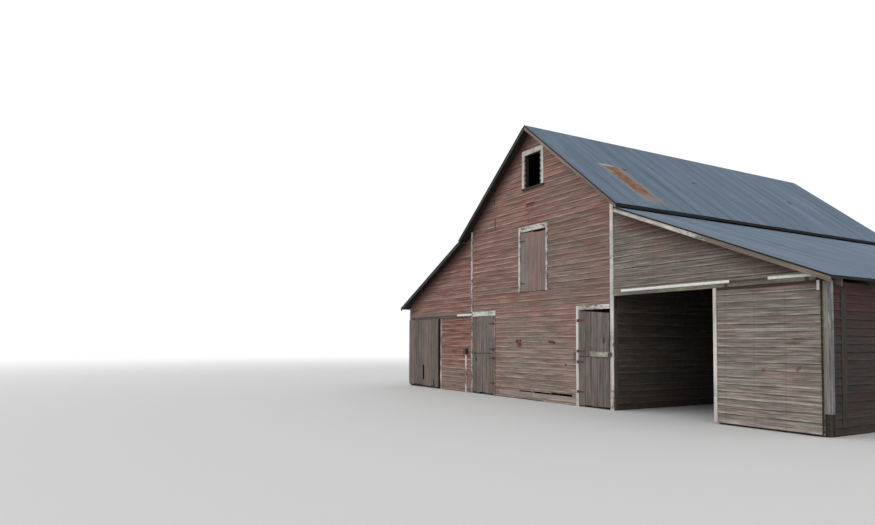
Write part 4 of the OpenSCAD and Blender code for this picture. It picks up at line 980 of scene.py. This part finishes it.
def rakes(s, side):
    """The boards under the front and back edges of one side's two slopes, with ends cut upright."""
    lean, height = LEAN_ANGLE[s], (0.07, 0.09)[s]
    first, last = (EAVE_OUT - 0.06) / math.cos(lean), LEAN_REACH[s] / math.cos(lean)
    z = LEAN_START[s] - LEAN_V[s] + LEAN_SLOPE[s] * EAVE_OUT
    for angle, x, z, stops, label in (
            (MAIN_ANGLE, X_RIDGE, RIDGE_Z - MAIN_V, (0, 2.44, MAIN_RUN / math.cos(MAIN_ANGLE)), "main"),
            (lean, X_IN[s], z, (first, 3.3, last), "lean")):
        down, over = slope_axes(side, angle)
        deep = height * math.cos(angle)
        back = deep * math.tan(angle)
        for end, out in (("front", FORWARDS), ("back", BACKWARDS)):
            rows = [row(a + back, b - 0.002 + back, -deep, 0, 0.026, tone, paint, top=(a, b - 0.002))
                    for a, b, tone, paint in zip(stops, stops[1:], (0.8, 0.4), (0.1, -0.05))]
            lay(f"{SIDES[s]}_{label}_{end}_rake", rows, (x, out[1] * (Y_EDGE - 0.026), z), (down, over, out),
                (RAKE_DARK, RAKE_PALE)[s], node=SIDES[s] + "_rake_boards", bow=0.0, wear=0.006,
                steps=30)


def roofs():
    """The sheets, the lean-tos' roof boards, the rakes and the boards along the eaves."""
    for s, side in enumerate((-1, 1)):
        rakes(s, side)
        down, out = slope_axes(side, LEAN_ANGLE[s])
        run, clear = (reach / math.cos(LEAN_ANGLE[s]) for reach in (LEAN_REACH[s], EAVE_OUT))
        # A lean-to's roof boards pass under the tall part's eave only behind its gable
        rows = [row(start, run, c0, c1, 0, under=-ROOF_T) for start, c0, c1 in (
            (0, Y_FRONT, Y_BACK), (clear, -Y_EDGE, Y_FRONT), (clear, Y_BACK, Y_EDGE))]
        start = (X_IN[s], 0, LEAN_TOP[s])
        lay(SIDES[s] + "_lean_deck", rows, start, (down, BACKWARDS, out), SHEET_BASE,
            node=SIDES[s] + "_lean_roof", bow=0.0, wear=0.0, steps=3)
        sheets_down(f"main_{SIDES[s]}_sheets", (X_RIDGE, 0, RIDGE_Z), math.hypot(MAIN_RUN, RIDGE_Z - EAVE_Z),
                    side, MAIN_ANGLE, (1.95,), 0.1)
        sheets_down(SIDES[s] + "_lean_sheets", start, run, side, LEAN_ANGLE[s], (run * 0.55,), 0.38)
        # Dark boards close the ends of the roof boards along the eaves; hanging low and nearly black, they
        # stand in for the shadow under the eaves as painted shade
        for name, x, z, drop in (("main", X_IN[s] + side * EAVE_OUT, EAVE_Z, 0.072),
                                 ("lean", X_OUT[s] + side * LEAN_OUT[s], LEAN_TIP[s], 0.04)):
            rows = []
            for k in range(4):
                y0 = -Y_EDGE + k * 3.19
                rows.append(row(y0, y0 + 3.18, z - drop - RNG.uniform(0, 0.012), z - 0.002, 0.006,
                                RNG.random()))
            lay(f"{SIDES[s]}_{name}_eave_board", rows, (x, 0, 0), (BACKWARDS, UP, (side, 0, 0)), EAVE_WOOD,
                bow=0.0, wear=0.012, steps=30)


front_siding()
other_siding()
trim()
small_doors()
latch()
hay_door()
left_sliding_door()
right_sliding_door()
outlet_box()
roofs()

# The solids that keep their own shape
DRESS = {
    WALL_BACK: ("front_wall_middle", "front_gable_wall", "left_front_wall", "left_front_upper_wall",
                "right_front_wall", "right_front_upper_wall", "left_side_wall", "right_side_wall",
                "back_gable_wall", "back_lean_walls", "main_side_wall"),
    TIMBER: ("front_posts", "row_posts", "row_beam", "knee_braces", "tie_beams", "ridge_board"),
    TIMBER_X: ("main_rafters", "left_rafters", "right_rafters"),
    SHEET_BASE: ("main_roof_left", "main_roof_right", "ridge_cap"),
    TRACK_PAINT: ("left_track_board", "right_track_board"),
    COVER: ("rail_covers",),
    STEEL: ("left_rail", "right_rail", "left_hangers", "right_hangers"),
    IRON: ("hinge_pins",),
}
for stuff, names in DRESS.items():
    for name in names:
        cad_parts[name].data.materials.clear()
        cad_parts[name].data.materials.append(stuff)

aim_camera()


def studio():
    """A pale floor that fades into a white distance, under an even sky and a soft sun."""
    far, low = 150, -0.002
    mesh = bpy.data.meshes.new("floor")
    mesh.from_pydata([(-far, -far, low), (far, -far, low), (far, far, low), (-far, far, low)], [],
                     [(0, 1, 2, 3)])
    made, tree = new_material("studio_floor")
    shader = add(tree, "BsdfPrincipled", links={"Base Color": linear("#d6d6d6"), "Roughness": 0.9})
    white = add(tree, "Emission", (1, 1, 1, 1), 1.0)
    reach = add(tree, "VectorMath LENGTH", (add(tree, "TexCoord"), "Object"))
    fade = add(tree, "MapRange", reach, 14.0, 55.0, interpolation_type="SMOOTHSTEP")
    fade = add(tree, "Math MULTIPLY", fade, (add(tree, "LightPath"), "Is Camera Ray"))
    add(tree, "OutputMaterial", add(tree, "MixShader", fade, shader, white))
    floor = bpy.data.objects.new("floor", mesh)
    mesh.materials.append(made)
    bpy.context.scene.collection.objects.link(floor)
    world = bpy.data.worlds.new("sky")
    bpy.context.scene.world = world
    world.use_nodes = True
    tree = world.node_tree
    tree.nodes.clear()
    path = add(tree, "LightPath")
    seen = add(tree, "Math MAXIMUM", (path, "Is Camera Ray"), (path, "Is Glossy Ray"))
    seen = add(tree, "Math MAXIMUM", seen, (path, "Is Transmission Ray"))
    strength = add(tree, "MapRange", seen, 0.0, 1.0, 0.75, 1.0)
    add(tree, "OutputWorld", add(tree, "Background", (1, 1, 1, 1), strength))
    sun = bpy.data.objects.new("soft_sun", bpy.data.lights.new("soft_sun", "SUN"))
    sun.data.energy = 0.7
    sun.data.angle = math.radians(70)
    sun.rotation_euler = (math.radians(48), 0, math.radians(-35))
    bpy.context.scene.collection.objects.link(sun)


studio()
bpy.context.scene.view_settings.view_transform = "Standard"
